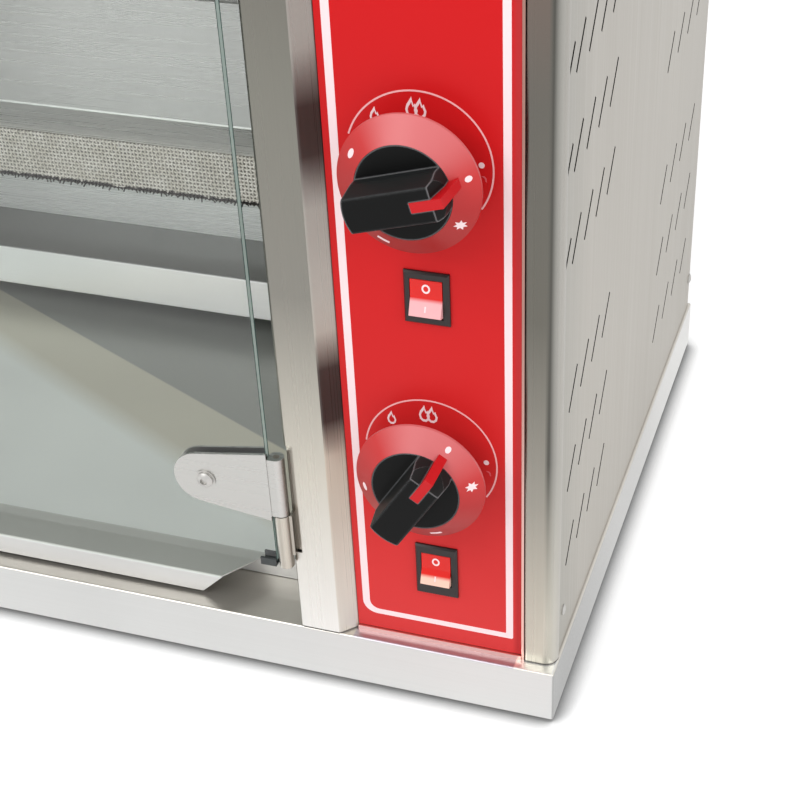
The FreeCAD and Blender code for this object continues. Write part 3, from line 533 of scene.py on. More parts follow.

# %% [markdown]
# Inside, the light comes through the glass and falls on the hoods, the ledge and the tray, and much of it
# is painted into their colours. The tray's deck carries painted light and shade: it is pale in front,
# warmer past a soft slanting line and dark past a sharp one.

# %% Steel inside
# Painted light: the strip of the back wall under the lower screen is painted pale.
FINISH["inside"] = brushed(
    "chamber_steel", (0.64, 0.64, 0.625), "x", rough=0.26, contrast=0.03, depth=0.002, matt=painted_light_under_mesh,
    patches=[(painted_light_under_mesh, (0.84, 0.87, 0.855))],
)
# Painted light on the hoods: their slopes that look down are painted pale, and a painted highlight runs along
# each fold.
FINISH["hood"] = brushed(
    "hood_steel", (0.47, 0.48, 0.465), "x", rough=0.30, contrast=0.03, depth=0.0015, metal=0.7,
    patches=[(downward, (0.95, 0.96, 0.94)), (painted_fold_highlight, (0.95, 0.97, 0.95))],
)
# Painted light on the ledge: its front is painted lighter toward the right, and its top dark, a painted
# reflection.
FINISH["ledge"] = brushed(
    "ledge_steel", run("X", -500, -340, [(0.77, 0.79, 0.78), (1.0, 1.0, 1.0)]), "x",
    rough=0.35, contrast=0.03, depth=0.004, metal=0.3, patches=[(upward, (0.195, 0.198, 0.19))],
)
FINISH["tray"] = brushed(
    "tray_steel", (0.66, 0.66, 0.65), "x", rough=0.5, contrast=0.04, depth=0.01, metal=0.5,
    patches=[
        # Painted light and shade: the deck pale, warmer past a soft slanting line, dark past a sharp one, and
        # the strip before the rim in painted shade.
        (upward, (0.86, 0.91, 0.88)),
        (beyond(0.517, -20.3, 0.012), (0.67, 0.66, 0.56)),
        (beyond(0.471, 56.2, 0.001), (0.385, 0.40, 0.375)),
        (painted_shade_on_tray_rim, (0.50, 0.52, 0.485)),
    ],
)
print(len(FINISH), "finishes with the inside")

# %% [markdown]
# The hinges are thick, smooth plates with turned barrels. Rods, handles and stems are polished, with
# no grain at all.

# %% Hinges, screws and polished steel
# Painted reflections on the hinges: their barrels in upright bands, and their tops in a tone of their own.
FINISH["hinge"] = brushed(
    "hinge_steel", (0.485, 0.48, 0.46), "x", rough=0.3, contrast=0.03, cloud=0.03, depth=0.008,
    patches=[(sideways, barrel), (upward, (0.50, 0.52, 0.50))],
)
FINISH["knuckle"] = brushed(
    "knuckle_steel", (0.42, 0.39, 0.34), "z", rough=0.3, contrast=0.03, cloud=0.03,
    patches=[(sideways, knuckle)],
)
FINISH["screw"] = brushed("screw_steel", (0.50, 0.49, 0.47), "x", rough=0.4, contrast=0.04, cloud=0.03)
FINISH["polished"] = material("polished_steel", (0.78, 0.78, 0.77), 0.12, metal=1.0)[0]
print(len(FINISH), "steel finishes")

# %% [markdown]
# ## Paint and plastic
#
# The panel is painted in a satin red, with painted light that makes it paler toward the plinth, and its
# right edge is painted darker, as the shade of the column. Paint and moulded plastic differ from steel
# in two ways: they shine without a tint, and their grain has no direction.


# %% Panel
def moulded(name, colour, rough, shine, waves=2500, relief=0.05, depth=0.0001, **sockets):
    """Paint or plastic with an even grain. Returns its material, tree and shader."""
    made, tree, shader = material(name, colour, rough, **{"Specular IOR Level": shine, **sockets})
    bump(tree, shader, noise(tree, waves), relief, depth)
    return made, tree, shader


# Painted light: the reds run paler toward the plinth, and the strip at the right edge is painted darker as
# the column's shade.
PANEL_REDS = [(0.66, 0.045, 0.045), (0.61, 0.020, 0.021), (0.59, 0.013, 0.015), (0.60, 0.008, 0.010)]
FINISH["panel"], tree, shader = moulded(
    "panel_red", PANEL_REDS[0], 0.34, 0.1, waves=350, relief=0.03, depth=0.0003
)
column_shade_strip = over(tree, coordinate(tree, "X"), metres("X", -26.5), 0.0015)
shaded = blend(tree, column_shade_strip, paint(tree, PANEL_REDS), (0.48, 0.027, 0.029))
fill(tree, shader.inputs["Base Color"], shaded)
print("panel in", len(PANEL_REDS), "reds")

# %% [markdown]
# A knob is a red skirt, a black grip and a red pointer. The skirt is a shallow cone, pale where it leans
# back to the light. The grip is nearly black, so only its edges, which catch the light, show its shape:
# a Bevel node finds them, as the places where a rounded normal would differ from the flat one.

# %% Knobs
SKIRT_REDS = [
    (0.33, 0.010, 0.009), (0.38, 0.012, 0.011), (0.43, 0.014, 0.014), (0.53, 0.032, 0.032),
    (0.60, 0.150, 0.155),
]
FINISH["knob_red"], tree, shader = moulded("knob_red", SKIRT_REDS[1], 0.38, 0.32)
back = maths(tree, "MULTIPLY", turned_to(tree, "Z"), 0.95)
lean = maths(tree, "ADD", back, maths(tree, "MULTIPLY", turned_to(tree, "X"), 0.25))
fill(tree, shader.inputs["Base Color"], ramp(tree, lean, -0.57, 0.6, SKIRT_REDS))

FINISH["pointer_red"] = moulded("pointer_red", (0.52, 0.008, 0.012), 0.4, 0.2)[0]

GRIP_BLACK, GRIP_TOP, GRIP_EDGE = (0.004, 0.0042, 0.0042), (0.014, 0.0155, 0.0155), (0.16, 0.16, 0.165)
FINISH["knob_black"], tree, shader = moulded("knob_black", GRIP_BLACK, 0.42, 0.10, relief=0.06)
rounded_off = node(tree, "ShaderNodeBevel", {"Radius": 0.0014}, samples=6).outputs[0]
flat = node(tree, "ShaderNodeNewGeometry").outputs["Normal"]
inputs = {0: rounded_off, 1: flat}
alike = node(tree, "ShaderNodeVectorMath", inputs, operation="DOT_PRODUCT").outputs["Value"]
top_light = blend(tree, over(tree, turned_to(tree, "Z"), 0.5, 0.3), GRIP_BLACK, GRIP_TOP)
grip = blend(tree, over(tree, alike, 0.96, 0.03), GRIP_EDGE, top_light)
fill(tree, shader.inputs["Base Color"], grip)
print("knob skirt in", len(SKIRT_REDS), "reds")

# %% [markdown]
# Each rocker is red above a level and whitish below it, where its foot stands out and catches the light.

# %% Switches
FINISH["switch_black"] = moulded("switch_black", (0.015, 0.010, 0.010), 0.34, 0.35, relief=0.04)[0]

LENS_RED = (0.70, 0.012, 0.008)
LIT_FEET = {"lower": (60, 92.8, (0.92, 0.58, 0.47)), "upper": (250, 282.4, (0.86, 0.44, 0.46))}
FINISH["lens_red"], tree, shader = moulded(
    "lens_red", LENS_RED, 0.25, 0.25, waves=600, depth=0.0002, **{"Coat Weight": 0.1}
)
height = coordinate(tree, "Z")
rocker_tone = LENS_RED
for low, high, pale in LIT_FEET.values():
    start, stop = metres("Z", low), metres("Z", high)
    lit_foot = overlap(tree, over(tree, height, start), under(tree, height, stop, 0.0011))
    rocker_tone = blend(tree, lit_foot, rocker_tone, pale)
fill(tree, shader.inputs["Base Color"], rocker_tone)
print("rockers lit below", [high for low, high, pale in LIT_FEET.values()], "mm")

# %% [markdown]
# ## Ink, rubber, ceramic and brass
#
# These are plain, and only their gloss wanders a little, as on any real surface.


# %% Plain finishes
def plain(name, colour, rough, low, high, waves=400, metal=0.0):
    """One tone whose roughness wanders from low to high."""
    made, tree, shader = material(name, colour, rough, metal)
    fill(tree, shader.inputs["Roughness"], spread(tree, noise(tree, waves), low, high))
    return made


FINISH["ink"] = plain("white_ink", (0.92, 0.72, 0.74), 0.4, 0.34, 0.5)
FINISH["pale_ink"] = plain("pale_ink", (0.88, 0.46, 0.47), 0.4, 0.34, 0.5)
FINISH["faint_ink"] = plain("faint_ink", (0.72, 0.12, 0.14), 0.4, 0.34, 0.5)
FINISH["rubber"] = plain("rubber_black", (0.035, 0.04, 0.04), 0.6, 0.5, 0.7, waves=500)
FINISH["motor"] = plain("motor_grey", (0.10, 0.11, 0.12), 0.5, 0.4, 0.6, waves=300, metal=0.4)
FINISH["scorched"] = plain("scorched_wire", (0.055, 0.05, 0.045), 0.7, 0.6, 0.8)
FINISH["brass"] = brushed("brass", (0.62, 0.47, 0.22), "y", rough=0.35)

FINISH["ceramic"], tree, shader = material("ceramic", (0.20, 0.19, 0.17), 0.9)
speckle = blend(tree, spread(tree, noise(tree, 60), 0, 1), (0.24, 0.23, 0.205), (0.36, 0.345, 0.31))
fill(tree, shader.inputs["Base Color"], speckle)
print(len(FINISH), "finishes so far")

# %% [markdown]
# ## Glass
#
# A pane's two faces are nearly clear, while its upright cut edges look green, because there you look
# through the sheet's whole width: pale in the middle of the edge and dark along its rims. The shader
# mixes clear and mirror by Fresnel, and the edges are picked out by the direction their faces point in.
# Only a face that is looked at from outside mirrors; seen from within, the same formula would turn the
# far side of the pane into a full mirror.

# %% Glass
EDGE_RIM, EDGE_CORE = (0.040, 0.10, 0.09), (0.46, 0.56, 0.52)
glass = bpy.data.materials.new("glass")
glass.use_nodes = True
tree = glass.node_tree
tree.nodes.clear()
clear = node(tree, "ShaderNodeBsdfTransparent", {"Color": (0.985, 0.99, 0.985, 1)}).outputs[0]
mirror = node(tree, "ShaderNodeBsdfGlossy", {"Color": (1, 1, 1, 1), "Roughness": 0.01}).outputs[0]
fresnel = node(tree, "ShaderNodeFresnel", {"IOR": 1.45}).outputs[0]
behind = node(tree, "ShaderNodeNewGeometry").outputs["Backfacing"]
front_only = maths(tree, "MULTIPLY", fresnel, maths(tree, "SUBTRACT", 1.0, behind))
pane = node(tree, "ShaderNodeMixShader", {0: front_only, 1: clear, 2: mirror}).outputs[0]
edge_tone = blend(tree, between(tree, "Y", -5.2, -2.0, 0.0003), EDGE_RIM, EDGE_CORE)
edge = node(tree, "ShaderNodeBsdfPrincipled", {"Base Color": edge_tone, "Roughness": 0.15}).outputs[0]
is_face = maths(tree, "LESS_THAN", sideways(tree), 0.5)
whole = node(tree, "ShaderNodeMixShader", {0: is_face, 1: edge, 2: pane}).outputs[0]
node(tree, "ShaderNodeOutputMaterial", {"Surface": whole})
FINISH["glass"] = glass
print("glass of", len(tree.nodes), "nodes")

# %% [markdown]
# ## Give every solid its finish
#
# Each solid is one manufactured part, so one finish is enough for each. The print at the end shows
# whether any was left out.

# %% Finish of every solid
WEARS = {
    "plinth": "plinth",
    "feet": "rubber",
    "side_panel_right side_panel_left": "side",
    "back_panel": "back",
    "door_post_right door_post_left": "post",
    "corner_column": "column",
    "panel_frame": "frame",
    "top_cover header_rail": "across",
    "cabinet_screws": "screw",
    "valve_stem_upper valve_stem_lower": "polished",
    "control_panel": "panel",
    "gas_manifold gas_tubes gas_valve_upper gas_valve_lower": "brass",
    "chamber_back chamber_right chamber_left chamber_ceiling tray_guides": "inside",
    "burner_bodies motor_bracket skewer_cradles": "inside",
    "burner_hoods": "hood",
    "ledge": "ledge",
    "drip_tray": "tray",
    "ceramic_plaques burner_meshes": "ceramic",
    "cable_gland switch_housings": "switch_black",
    "hinge_leaves": "knuckle",
    "hinge_plates_right hinge_plates_left": "hinge",
    "hinge_screws_right hinge_screws_left": "screw",
    "door_handle_right door_handle_left": "polished",
    "door_glass_right door_glass_left": "glass",
    "door_shoe_right door_shoe_left": "rubber",
    "skewer_rod skewer_forks drive_socket_upper drive_socket_lower": "polished",
    "gear_motor_upper gear_motor_lower": "motor",
    "knob_skirt_upper knob_skirt_lower": "knob_red",
    "knob_pointer_upper knob_pointer_lower": "pointer_red",
    "knob_grip_upper knob_grip_lower": "knob_black",
    "switch_rocker_upper switch_rocker_lower": "lens_red",
}
finished = set()
for names, finish in WEARS.items():
    for name in names.split():
        NODES[name].data.materials.clear()
        NODES[name].data.materials.append(FINISH[finish])
        finished.add(name)
print("without a finish:", sorted(set(NODES) - finished))

# %% [markdown]
# ## Woven wire
#
# A screen of wires is one crossing, repeated: a wire that arches to the front over one that arches to
# the back. Turned a quarter at every second place, the crossings join up into a plain weave. Geometry
# Nodes puts them on a grid and gives the whole screen a slow bulge, as heat does.


# %% Wire crossing
MESH_LEFT, MESH_RIGHT = -786.0, -164.4
MESH_BOTTOM, MESH_TOP = 129.6, 172.6
MESH_MIDDLE = 351.4
STATIONS = {"lower": 0.0, "upper": 195.0}
PITCH = 3.2
WIRE_RADIUS = 0.76
ARCH = 0.85
Y_AXIS = Vector((0, 1, 0))


def tube(build, path, radius, sides):
    """A closed tube with this many sides round a path that runs in a plane with the y axis."""
    rings = []
    across = (path[-1] - path[0]).normalized().cross(Y_AXIS)
    for point in path:
        turns = [math.tau * i / sides for i in range(sides)]
        offsets = [across * math.cos(t) + Y_AXIS * math.sin(t) for t in turns]
        rings.append([build.verts.new(point + offset * radius) for offset in offsets])
    for ring, after in zip(rings, rings[1:]):
        for i in range(sides):
            j = (i + 1) % sides
            build.faces.new((ring[i], ring[j], after[j], after[i]))
    build.faces.new(rings[0][::-1])
    build.faces.new(rings[-1])


def solid_mesh(build, name):
    """Ends a bmesh as a mesh with its normals outward."""
    bmesh.ops.recalc_face_normals(build, faces=build.faces)
    mesh = bpy.data.meshes.new(name)
    build.to_mesh(mesh)
    build.free()
    return mesh


crossing = bmesh.new()
reach, arch, wire = PITCH / 2 * MM, ARCH * MM, WIRE_RADIUS * MM
tube(crossing, [Vector((0, 0, -reach)), Vector((0, -arch, 0)), Vector((0, 0, reach))], wire, 5)
tube(crossing, [Vector((-reach, 0, 0)), Vector((0, arch, 0)), Vector((reach, 0, 0))], wire, 5)
crossing_mesh = solid_mesh(crossing, "wire_crossing")
print("one crossing has", len(crossing_mesh.polygons), "faces")

# %% [markdown]
# Two trees follow, one for the screen and one for its frayed hem. They begin and end alike, so those
# parts are shared.


# %% Tree helpers
def new_tree(name, **kinds):
    """A tree that takes geometry and inputs of these kinds. Returns it and the outputs of its input node."""
    tree = bpy.data.node_groups.new(name, "GeometryNodeTree")
    for way in ("INPUT", "OUTPUT"):
        tree.interface.new_socket("Geometry", in_out=way, socket_type="NodeSocketGeometry")
    for socket, kind in kinds.items():
        tree.interface.new_socket(socket, in_out="INPUT", socket_type="NodeSocket" + kind)
    return tree, node(tree, "NodeGroupInput").outputs


def row_length(tree, count, pitch):
    """From the first place of a row to its last."""
    return maths(tree, "MULTIPLY", maths(tree, "SUBTRACT", count, 1.0), pitch)


def copied(tree, given, points, **turns):
    """The given geometry on every point, turned or scaled, as real geometry."""
    inputs = {"Points": points, "Instance": given["Geometry"], **turns}
    copies = node(tree, "GeometryNodeInstanceOnPoints", inputs).outputs[0]
    return node(tree, "GeometryNodeRealizeInstances", {"Geometry": copies}).outputs[0]


def give_out(tree, given, geometry):
    """Ends a tree: its geometry takes the finish and goes out."""
    inputs = {"Geometry": geometry, "Material": given["Finish"]}
    dressed = node(tree, "GeometryNodeSetMaterial", inputs).outputs[0]
    node(tree, "NodeGroupOutput", {"Geometry": dressed})


# %% [markdown]
# The tree takes the crossing as its geometry. Places on a grid count up one column after another, so a
# place's index gives its column and row, and their sum, odd or even, says whether to turn.


# %% Weave tree
def weave_tree():
    """A screen in the plane of x and z, round the origin."""
    tree, given = new_tree(
        "weave", Columns="Int", Rows="Int", Pitch="Float", Bulge="Float", Finish="Material"
    )
    columns, rows = given["Columns"], given["Rows"]
    wide, high = (row_length(tree, count, given["Pitch"]) for count in (columns, rows))
    inputs = {"Size X": wide, "Size Y": high, "Vertices X": columns, "Vertices Y": rows}
    grid = node(tree, "GeometryNodeMeshGrid", inputs).outputs[0]
    inputs = {"Geometry": grid, "Rotation": (math.pi / 2, 0, 0)}
    upright = node(tree, "GeometryNodeTransform", inputs).outputs[0]
    index = node(tree, "GeometryNodeInputIndex").outputs[0]
    column = maths(tree, "FLOOR", maths(tree, "DIVIDE", maths(tree, "ADD", index, 0.5), rows))
    row = maths(tree, "FLOORED_MODULO", index, rows)
    odd = maths(tree, "FLOORED_MODULO", maths(tree, "ADD", column, row), 2.0)
    turn = node(tree, "ShaderNodeCombineXYZ", {"Y": maths(tree, "MULTIPLY", odd, math.pi / 2)}).outputs[0]
    spin = node(tree, "FunctionNodeEulerToRotation", {"Euler": turn}).outputs[0]
    woven = copied(tree, given, upright, Rotation=spin)
    slow = node(tree, "ShaderNodeTexNoise", {"Scale": 22.0, "Detail": 1.0}).outputs[0]
    push = maths(tree, "MULTIPLY", maths(tree, "SUBTRACT", slow, 0.5), given["Bulge"])
    shift = node(tree, "ShaderNodeCombineXYZ", {"Y": push}).outputs[0]
    bulged = node(tree, "GeometryNodeSetPosition", {"Geometry": woven, "Offset": shift}).outputs[0]
    give_out(tree, given, bulged)
    return tree


weave = weave_tree()
print("the weave has", len(weave.nodes), "nodes")

# %% [markdown]
# A modifier runs a tree on a seed mesh. Its result is copied out as a plain mesh, so that the piece
# doesn't hang on the seed, and every vertex is moved to its place on the grill.


# %% Grow a piece
def grown(name, seed_mesh, tree, values, place):
    """Runs a node tree on a seed mesh and returns its result as a plain object, moved to its place."""
    seed = bpy.data.objects.new(name + "_seed", seed_mesh)
    bpy.context.collection.objects.link(seed)
    modifier = seed.modifiers.new("grow", "NODES")
    modifier.node_group = tree
    sockets = {item.name: item.identifier for item in tree.interface.items_tree if item.in_out == "INPUT"}
    for key, value in values.items():
        modifier[sockets[key]] = value
    bpy.context.view_layer.update()
    ready = seed.evaluated_get(bpy.context.evaluated_depsgraph_get())
    mesh = bpy.data.meshes.new_from_object(ready)
    mesh.name = name
    seed.modifiers.clear()
    bpy.data.objects.remove(seed)
    for vertex in mesh.vertices:
        vertex.co += place
    piece = bpy.data.objects.new(name, mesh)
    bpy.context.collection.objects.link(piece)
    return piece


# %% [markdown]
# Cut ends stick out under the screen. Their tree takes one short stub, puts it on each point of a line,
# and turns and stretches each by chance. The seed is fixed, so the fringe is always the same.

# %% Fringe tree
LEAN_FROM, LEAN_TO = (-0.5, -0.9, 0.0), (0.3, 0.9, 0.0)
SHORTEST, LONGEST = 0.2, 1.0


def fringe_tree():
    """A row of ends along x, with the origin in its middle."""
    tree, given = new_tree("fringe", Columns="Int", Pitch="Float", Seed="Int", Finish="Material")
    left = maths(tree, "MULTIPLY", row_length(tree, given["Columns"], given["Pitch"]), -0.5)
    start = node(tree, "ShaderNodeCombineXYZ", {"X": left}).outputs[0]
    step_right = node(tree, "ShaderNodeCombineXYZ", {"X": given["Pitch"]}).outputs[0]
    inputs = {"Count": given["Columns"], "Start Location": start, "Offset": step_right}
    line = node(tree, "GeometryNodeMeshLine", inputs).outputs[0]
    inputs = {0: LEAN_FROM, 1: LEAN_TO, "Seed": given["Seed"]}
    leans = node(tree, "FunctionNodeRandomValue", inputs, data_type="FLOAT_VECTOR").outputs[0]
    inputs = {2: SHORTEST, 3: LONGEST, "Seed": given["Seed"]}
    lengths = node(tree, "FunctionNodeRandomValue", inputs, data_type="FLOAT").outputs[1]
    size = node(tree, "ShaderNodeCombineXYZ", {"X": 1.0, "Y": 1.0, "Z": lengths}).outputs[0]
    spin = node(tree, "FunctionNodeEulerToRotation", {"Euler": leans}).outputs[0]
    give_out(tree, given, copied(tree, given, line, Rotation=spin, Scale=size))
    return tree


stub = bmesh.new()
tube(stub, [Vector((0, 0, 0.0008)), Vector((0, 0, -0.0036))], 0.0006, 4)
stub_mesh = solid_mesh(stub, "wire_stub")
fringe = fringe_tree()
print("the fringe has", len(fringe.nodes), "nodes")

# %% [markdown]
# The wire has gone dull and creamy in the heat. Its lower edge, where cut ends stick out, is scorched
# up to a ragged line: a level that noise moves up and down along the screen.

# %% Wire finish
SCORCHED = (0.04, 0.036, 0.033)
SCORCH_HEIGHT, SCORCH_DEPTH, SCORCH_RAGGED = 0.0076, 0.004, 0.008
FINISH["wire"], tree, shader = material("burnt_wire", (0.82, 0.79, 0.72), 0.7)
wander = maths(tree, "MULTIPLY", noise(tree, 140), SCORCH_RAGGED)
ragged = maths(tree, "ADD", coordinate(tree, "Z"), wander)
wire_tone = blend(tree, spread(tree, noise(tree, 90), 0, 1), (0.80, 0.77, 0.70), (0.97, 0.95, 0.90))
for rise in STATIONS.values():
    hem = metres("Z", MESH_BOTTOM + rise)
    below = maths(tree, "LESS_THAN", ragged, hem + SCORCH_HEIGHT)
    above = maths(tree, "GREATER_THAN", ragged, hem - SCORCH_DEPTH)
    wire_tone = blend(tree, overlap(tree, below, above), wire_tone, SCORCHED)
fill(tree, shader.inputs["Base Color"], wire_tone)
print("wire scorched for", SCORCH_HEIGHT / MM, "mm, less the noise")

# %% [markdown]
# One screen hangs in front of each burner. Together the two stand in for the plain plates of the solids.

# %% Screens
columns = int((MESH_RIGHT - MESH_LEFT) / PITCH)
rows = int((MESH_TOP - MESH_BOTTOM) / PITCH)
for where, rise in STATIONS.items():
    middle = at((MESH_LEFT + MESH_RIGHT) / 2, MESH_MIDDLE, (MESH_BOTTOM + MESH_TOP) / 2 + rise)
    size = {"Columns": columns, "Rows": rows, "Pitch": PITCH * MM}
    values = {**size, "Bulge": 0.0012, "Finish": FINISH["wire"]}
    screen = grown("woven_wire_" + where, crossing_mesh, weave, values, middle)
    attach(screen, "cabinet")
    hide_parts("burner_meshes")
    hem = at((MESH_LEFT + MESH_RIGHT) / 2, MESH_MIDDLE, MESH_BOTTOM + rise + 1.2)
    values = {"Columns": columns, "Pitch": PITCH * MM, "Seed": 3, "Finish": FINISH["scorched"]}
    ends = grown("wire_ends_" + where, stub_mesh, fringe, values, hem)
    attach(ends, "cabinet")
    faces = len(screen.data.polygons) + len(ends.data.polygons)
    print(screen.name, columns, "by", rows, "crossings,", faces, "faces")

# %% [markdown]
# ## Ink
#
# Printed marks are thin inlays: flat shapes, a tenth of a millimetre proud, with their backs inside the
# surface that carries them. A shape is a list of small polygons, and a function puts its points on the
# panel, on a knob's cone or on a rocker.

# %% Inlay
INLAYS = []


def inlay(name, polygons, place, body, finish, proud=0.12, sunk=0.06):
    """Makes one closed thin piece from polygons that share their edges, and lets it ride on a body."""
    build = bmesh.new()
    corners = {}
    rim = {}  # the edges that only one polygon has so far; a dict keeps their order

    def pair(point):
        key = (round(point[0], 4), round(point[1], 4))
        if key not in corners:
            corners[key] = (build.verts.new(place(*key, proud)), build.verts.new(place(*key, -sunk)))
        return key

    for polygon in polygons:
        keys = [pair(point) for point in polygon]
        build.faces.new([corners[k][0] for k in keys])
        build.faces.new([corners[k][1] for k in reversed(keys)])
        for a, b in zip(keys, keys[1:] + keys[:1]):
            if (b, a) in rim:
                del rim[(b, a)]
            else:
                rim[(a, b)] = True
    for a, b in rim:
        build.faces.new((corners[b][0], corners[a][0], corners[a][1], corners[b][1]))
    piece = bpy.data.objects.new(name, solid_mesh(build, name))
    piece.data.materials.append(finish)
    bpy.context.collection.objects.link(piece)
    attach(piece, body)
    INLAYS.append(piece)


# %% [markdown]
# Flat shapes come from a few helpers. Their points are pairs of millimetres, across and up.


# %% Shapes
def fan(outline, centre=None):
    """Triangles from a middle point to an outline."""
    count = len(outline)
    middle = centre or (sum(p[0] for p in outline) / count, sum(p[1] for p in outline) / count)
    return [[middle, outline[i], outline[(i + 1) % count]] for i in range(count)]


def ribbon(first, second, closed=False):
    """Quads between two lines with the same number of points."""
    count = len(first) if closed else len(first) - 1
    after = [(i + 1) % len(first) for i in range(count)]
    return [[first[i], first[j], second[j], second[i]] for i, j in zip(range(count), after)]


def polar(centre, radius, degrees):
    """A point at a distance from another, at an angle from the right, against the clock."""
    turn = math.radians(degrees)
    return (centre[0] + radius * math.cos(turn), centre[1] + radius * math.sin(turn))


def arc(centre, radius, start, stop, count):
    """Points on a circle between two angles in degrees."""
    return [polar(centre, radius, start + (stop - start) * i / (count - 1)) for i in range(count)]


def disc(centre, radius, count=14):
    """A filled circle."""
    return fan(arc(centre, radius, 0, 360 - 360 / count, count), centre)


def rounded(left, right, low, high, radii):
    """A rectangle with round corners: lower right, upper right, upper left, lower left."""
    points = []
    corners = ((right, low, 270), (right, high, 0), (left, high, 90), (left, low, 180))
    for (x, z, start), radius in zip(corners, radii):
        centre_x = x - math.copysign(radius, x - (left + right) / 2)
        centre_z = z - math.copysign(radius, z - (low + high) / 2)
        points += arc((centre_x, centre_z), radius, start, start + 90, 7)
    return points


# %% [markdown]
# ### On the panel
#
# The panel has a white line round it. Round each knob an arc runs from the small flame to a dot, and
# the big flame, two tongues beside each other, stands above it. A faint spark is under the dot.

# %% Panel marks
PANEL_FACE = 9.3
DIALS = {"upper": ((-75.8, 360.3), 162), "lower": ((-75.5, 177.7), 172)}
DIAL_RADIUS, DIAL_END = 38.8, -33.5
HALF_LINE = 0.45
FLAME = [
    (0, 5.0), (-0.9, 3.4), (-2.1, 1.6), (-2.7, -0.6), (-2.2, -2.8), (-0.8, -4.1), (0.8, -4.1),
    (2.2, -2.8), (2.6, -0.8), (1.9, 0.9), (1.5, 2.2), (0.9, 1.4), (0.3, 3.2),
]
SPARK = [(-1.6, 1.7), (0.2, 1.6), (1.1, 0.6), (1.3, -1.6), (0.6, -1.0), (0.4, 0.3), (-0.3, 0.9)]


def flame(centre, size):
    """The outline of one tongue of flame with its tip up: its shape, and the same shape smaller inside."""
    x, z = centre
    lines = []
    for scale in (1.0, 0.62):
        lines.append([(x + size * scale * a, z + size * (scale * (b + 1.0) - 1.0)) for a, b in FLAME])
    return ribbon(*lines, closed=True)


def on_panel(x, z, out):
    """Puts a point on the panel."""
    return at(x, PANEL_FACE - out, z)


outer = rounded(-123.1, -27.6, 51.5, 527.0, (1.2, 9.0, 9.0, 9.0))
inner = rounded(-118.6, -31.9, 55.3, 523.0, (0.6, 6.0, 6.0, 6.0))
inlay("panel_line", ribbon(outer, inner, closed=True), on_panel, "cabinet", FINISH["ink"])

for where, ((x, z), start) in DIALS.items():
    sweeps = [arc((x, z), DIAL_RADIUS + side * HALF_LINE, start, DIAL_END, 48) for side in (1, -1)]
    inlay("dial_arc_" + where, ribbon(*sweeps), on_panel, "cabinet", FINISH["pale_ink"])
    inlay("dial_dot_" + where, disc((x + 32.6, z + 2.9), 1.6), on_panel, "cabinet", FINISH["ink"])
    inlay("small_flame_" + where, flame((x - 22.3, z + 23.4), 1.0), on_panel, "cabinet", FINISH["ink"])
    # The two tongues cross, so one stands prouder: faces in one plane would flicker.
    for side, shift, proud in (("left", -2.85, 0.12), ("right", 1.65, 0.16)):
        tongue = flame((x + shift, z + 29.4), 1.22)
        inlay("%s_flame_%s" % (side, where), tongue, on_panel, "cabinet", FINISH["ink"], proud=proud)
    spark = fan([(x + 33.9 + a, z - 4.6 + b) for a, b in SPARK])
    inlay("spark_" + where, spark, on_panel, "cabinet", FINISH["faint_ink"])
print(len(INLAYS), "marks on the panel")

# %% [markdown]
# ### On the knobs
#
# Each skirt is a cone, so a mark's height out of the panel falls with its distance from the middle. The
# marks are drawn for a knob whose pointer is to the right, and turn with it.

# %% Knob marks
KNOBS = {"upper": ((-74.8, 358.0), 16.0), "lower": ((-75.5, 175.0), 57.0)}
DISC_RADIUS, DISC_TOP = 25.5, 29.0
SKIRT_FALL = 9.0 / 12.0
MARK_RADIUS = 32.0
HUB = (0.0, 0.0)


def on_skirt(where):
    """Makes a function that puts a point, seen with the pointer to the right, on the cone of one skirt."""
    (x, z), degrees = KNOBS[where]
    turn = math.radians(degrees)

    def place(u, v, out):
        level = DISC_TOP - SKIRT_FALL * (math.hypot(u, v) - DISC_RADIUS - 0.2) + out
        across = u * math.cos(turn) - v * math.sin(turn)
        up = u * math.sin(turn) + v * math.cos(turn)
        return at(x + across, PANEL_FACE - level, z + up)

    return place


def star(centre, long, short, points, turn):
    """A star with so many points, the first of them at an angle."""
    reaches = (long, short) * points
    outline = [polar(centre, reach, turn + 180 * i / points) for i, reach in enumerate(reaches)]
    return fan(outline, centre)


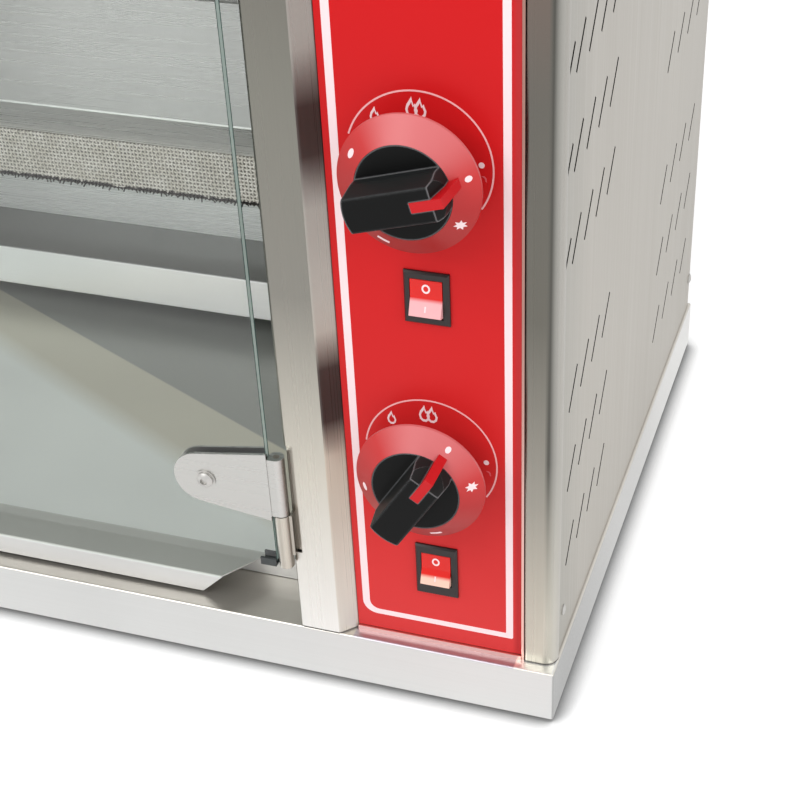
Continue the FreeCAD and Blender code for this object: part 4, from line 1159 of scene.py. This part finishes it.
def oval(middle, half_length, half_width):
    """An ellipse that lies along the skirt's rim, at an angle from the pointer."""
    outline = []
    for degrees in range(0, 360, 30):
        right, up = polar((0.0, 0.0), 1.0, degrees)
        turned = middle + math.degrees(half_length * right / MARK_RADIUS)
        outline.append(polar(HUB, MARK_RADIUS + half_width * up, turned))
    return fan(outline, polar(HUB, MARK_RADIUS, middle))


SHAPES = {
    "star": star(polar(HUB, MARK_RADIUS, -46), 3.2, 1.7, 7, 10),
    "dash": ribbon(*(arc(HUB, radius, -124, -136, 3) for radius in (33.6, 31.6))),
    "dot": disc(polar(HUB, 33.3, 0), 1.6),
    "oval": oval(134, 2.8, 1.5),
}
for where in KNOBS:
    for name, polygons in SHAPES.items():
        full_name = "skirt_%s_%s" % (name, where)
        inlay(full_name, polygons, on_skirt(where), "knob_" + where, FINISH["ink"], proud=0.2)
print(len(INLAYS), "marks with those of the knobs")

# %% [markdown]
# ### On the rockers
#
# A rocker's two faces meet in a shallow valley, and the whole rocker leans in its housing with its head
# pressed in. The upper face has a ring for off, the lower one a bar for on.

# %% Rocker marks
ROCKERS = {"upper": (-74.0, 282.9), "lower": (-74.2, 96.7)}
VALLEY, CREST, PIVOT, HALF_HEIGHT = 6.8, 4.8, 10.5, 10.4
TILT = math.radians(-12.0)
RING_NARROWED, RING_RISE = 0.88, 5.4


def on_rocker(where):
    """Makes a function that puts a point on the leaning faces of one rocker."""
    x, z = ROCKERS[where]

    def place(u, v, out):
        y = VALLEY - (VALLEY - CREST) * abs(v) / HALF_HEIGHT - out
        back, up = y - PIVOT, v
        turned_y = back * math.cos(TILT) - up * math.sin(TILT)
        turned_z = back * math.sin(TILT) + up * math.cos(TILT)
        return at(x + u, PIVOT + turned_y, z + turned_z)

    return place


circles = [arc((0.0, 0.0), radius, 0, 345, 24) for radius in (2.7, 1.6)]
ring = [[(a * RING_NARROWED, RING_RISE + b) for a, b in circle] for circle in circles]
bar = [[(-0.4, -7.6), (0.4, -7.6), (0.4, -4.4), (-0.4, -4.4)]]
for where in ROCKERS:
    body, place = "rocker_" + where, on_rocker(where)
    inlay("rocker_ring_" + where, ribbon(*ring, closed=True), place, body, FINISH["ink"])
    inlay("rocker_bar_" + where, bar, place, body, FINISH["ink"])
print(len(INLAYS), "marks in all")
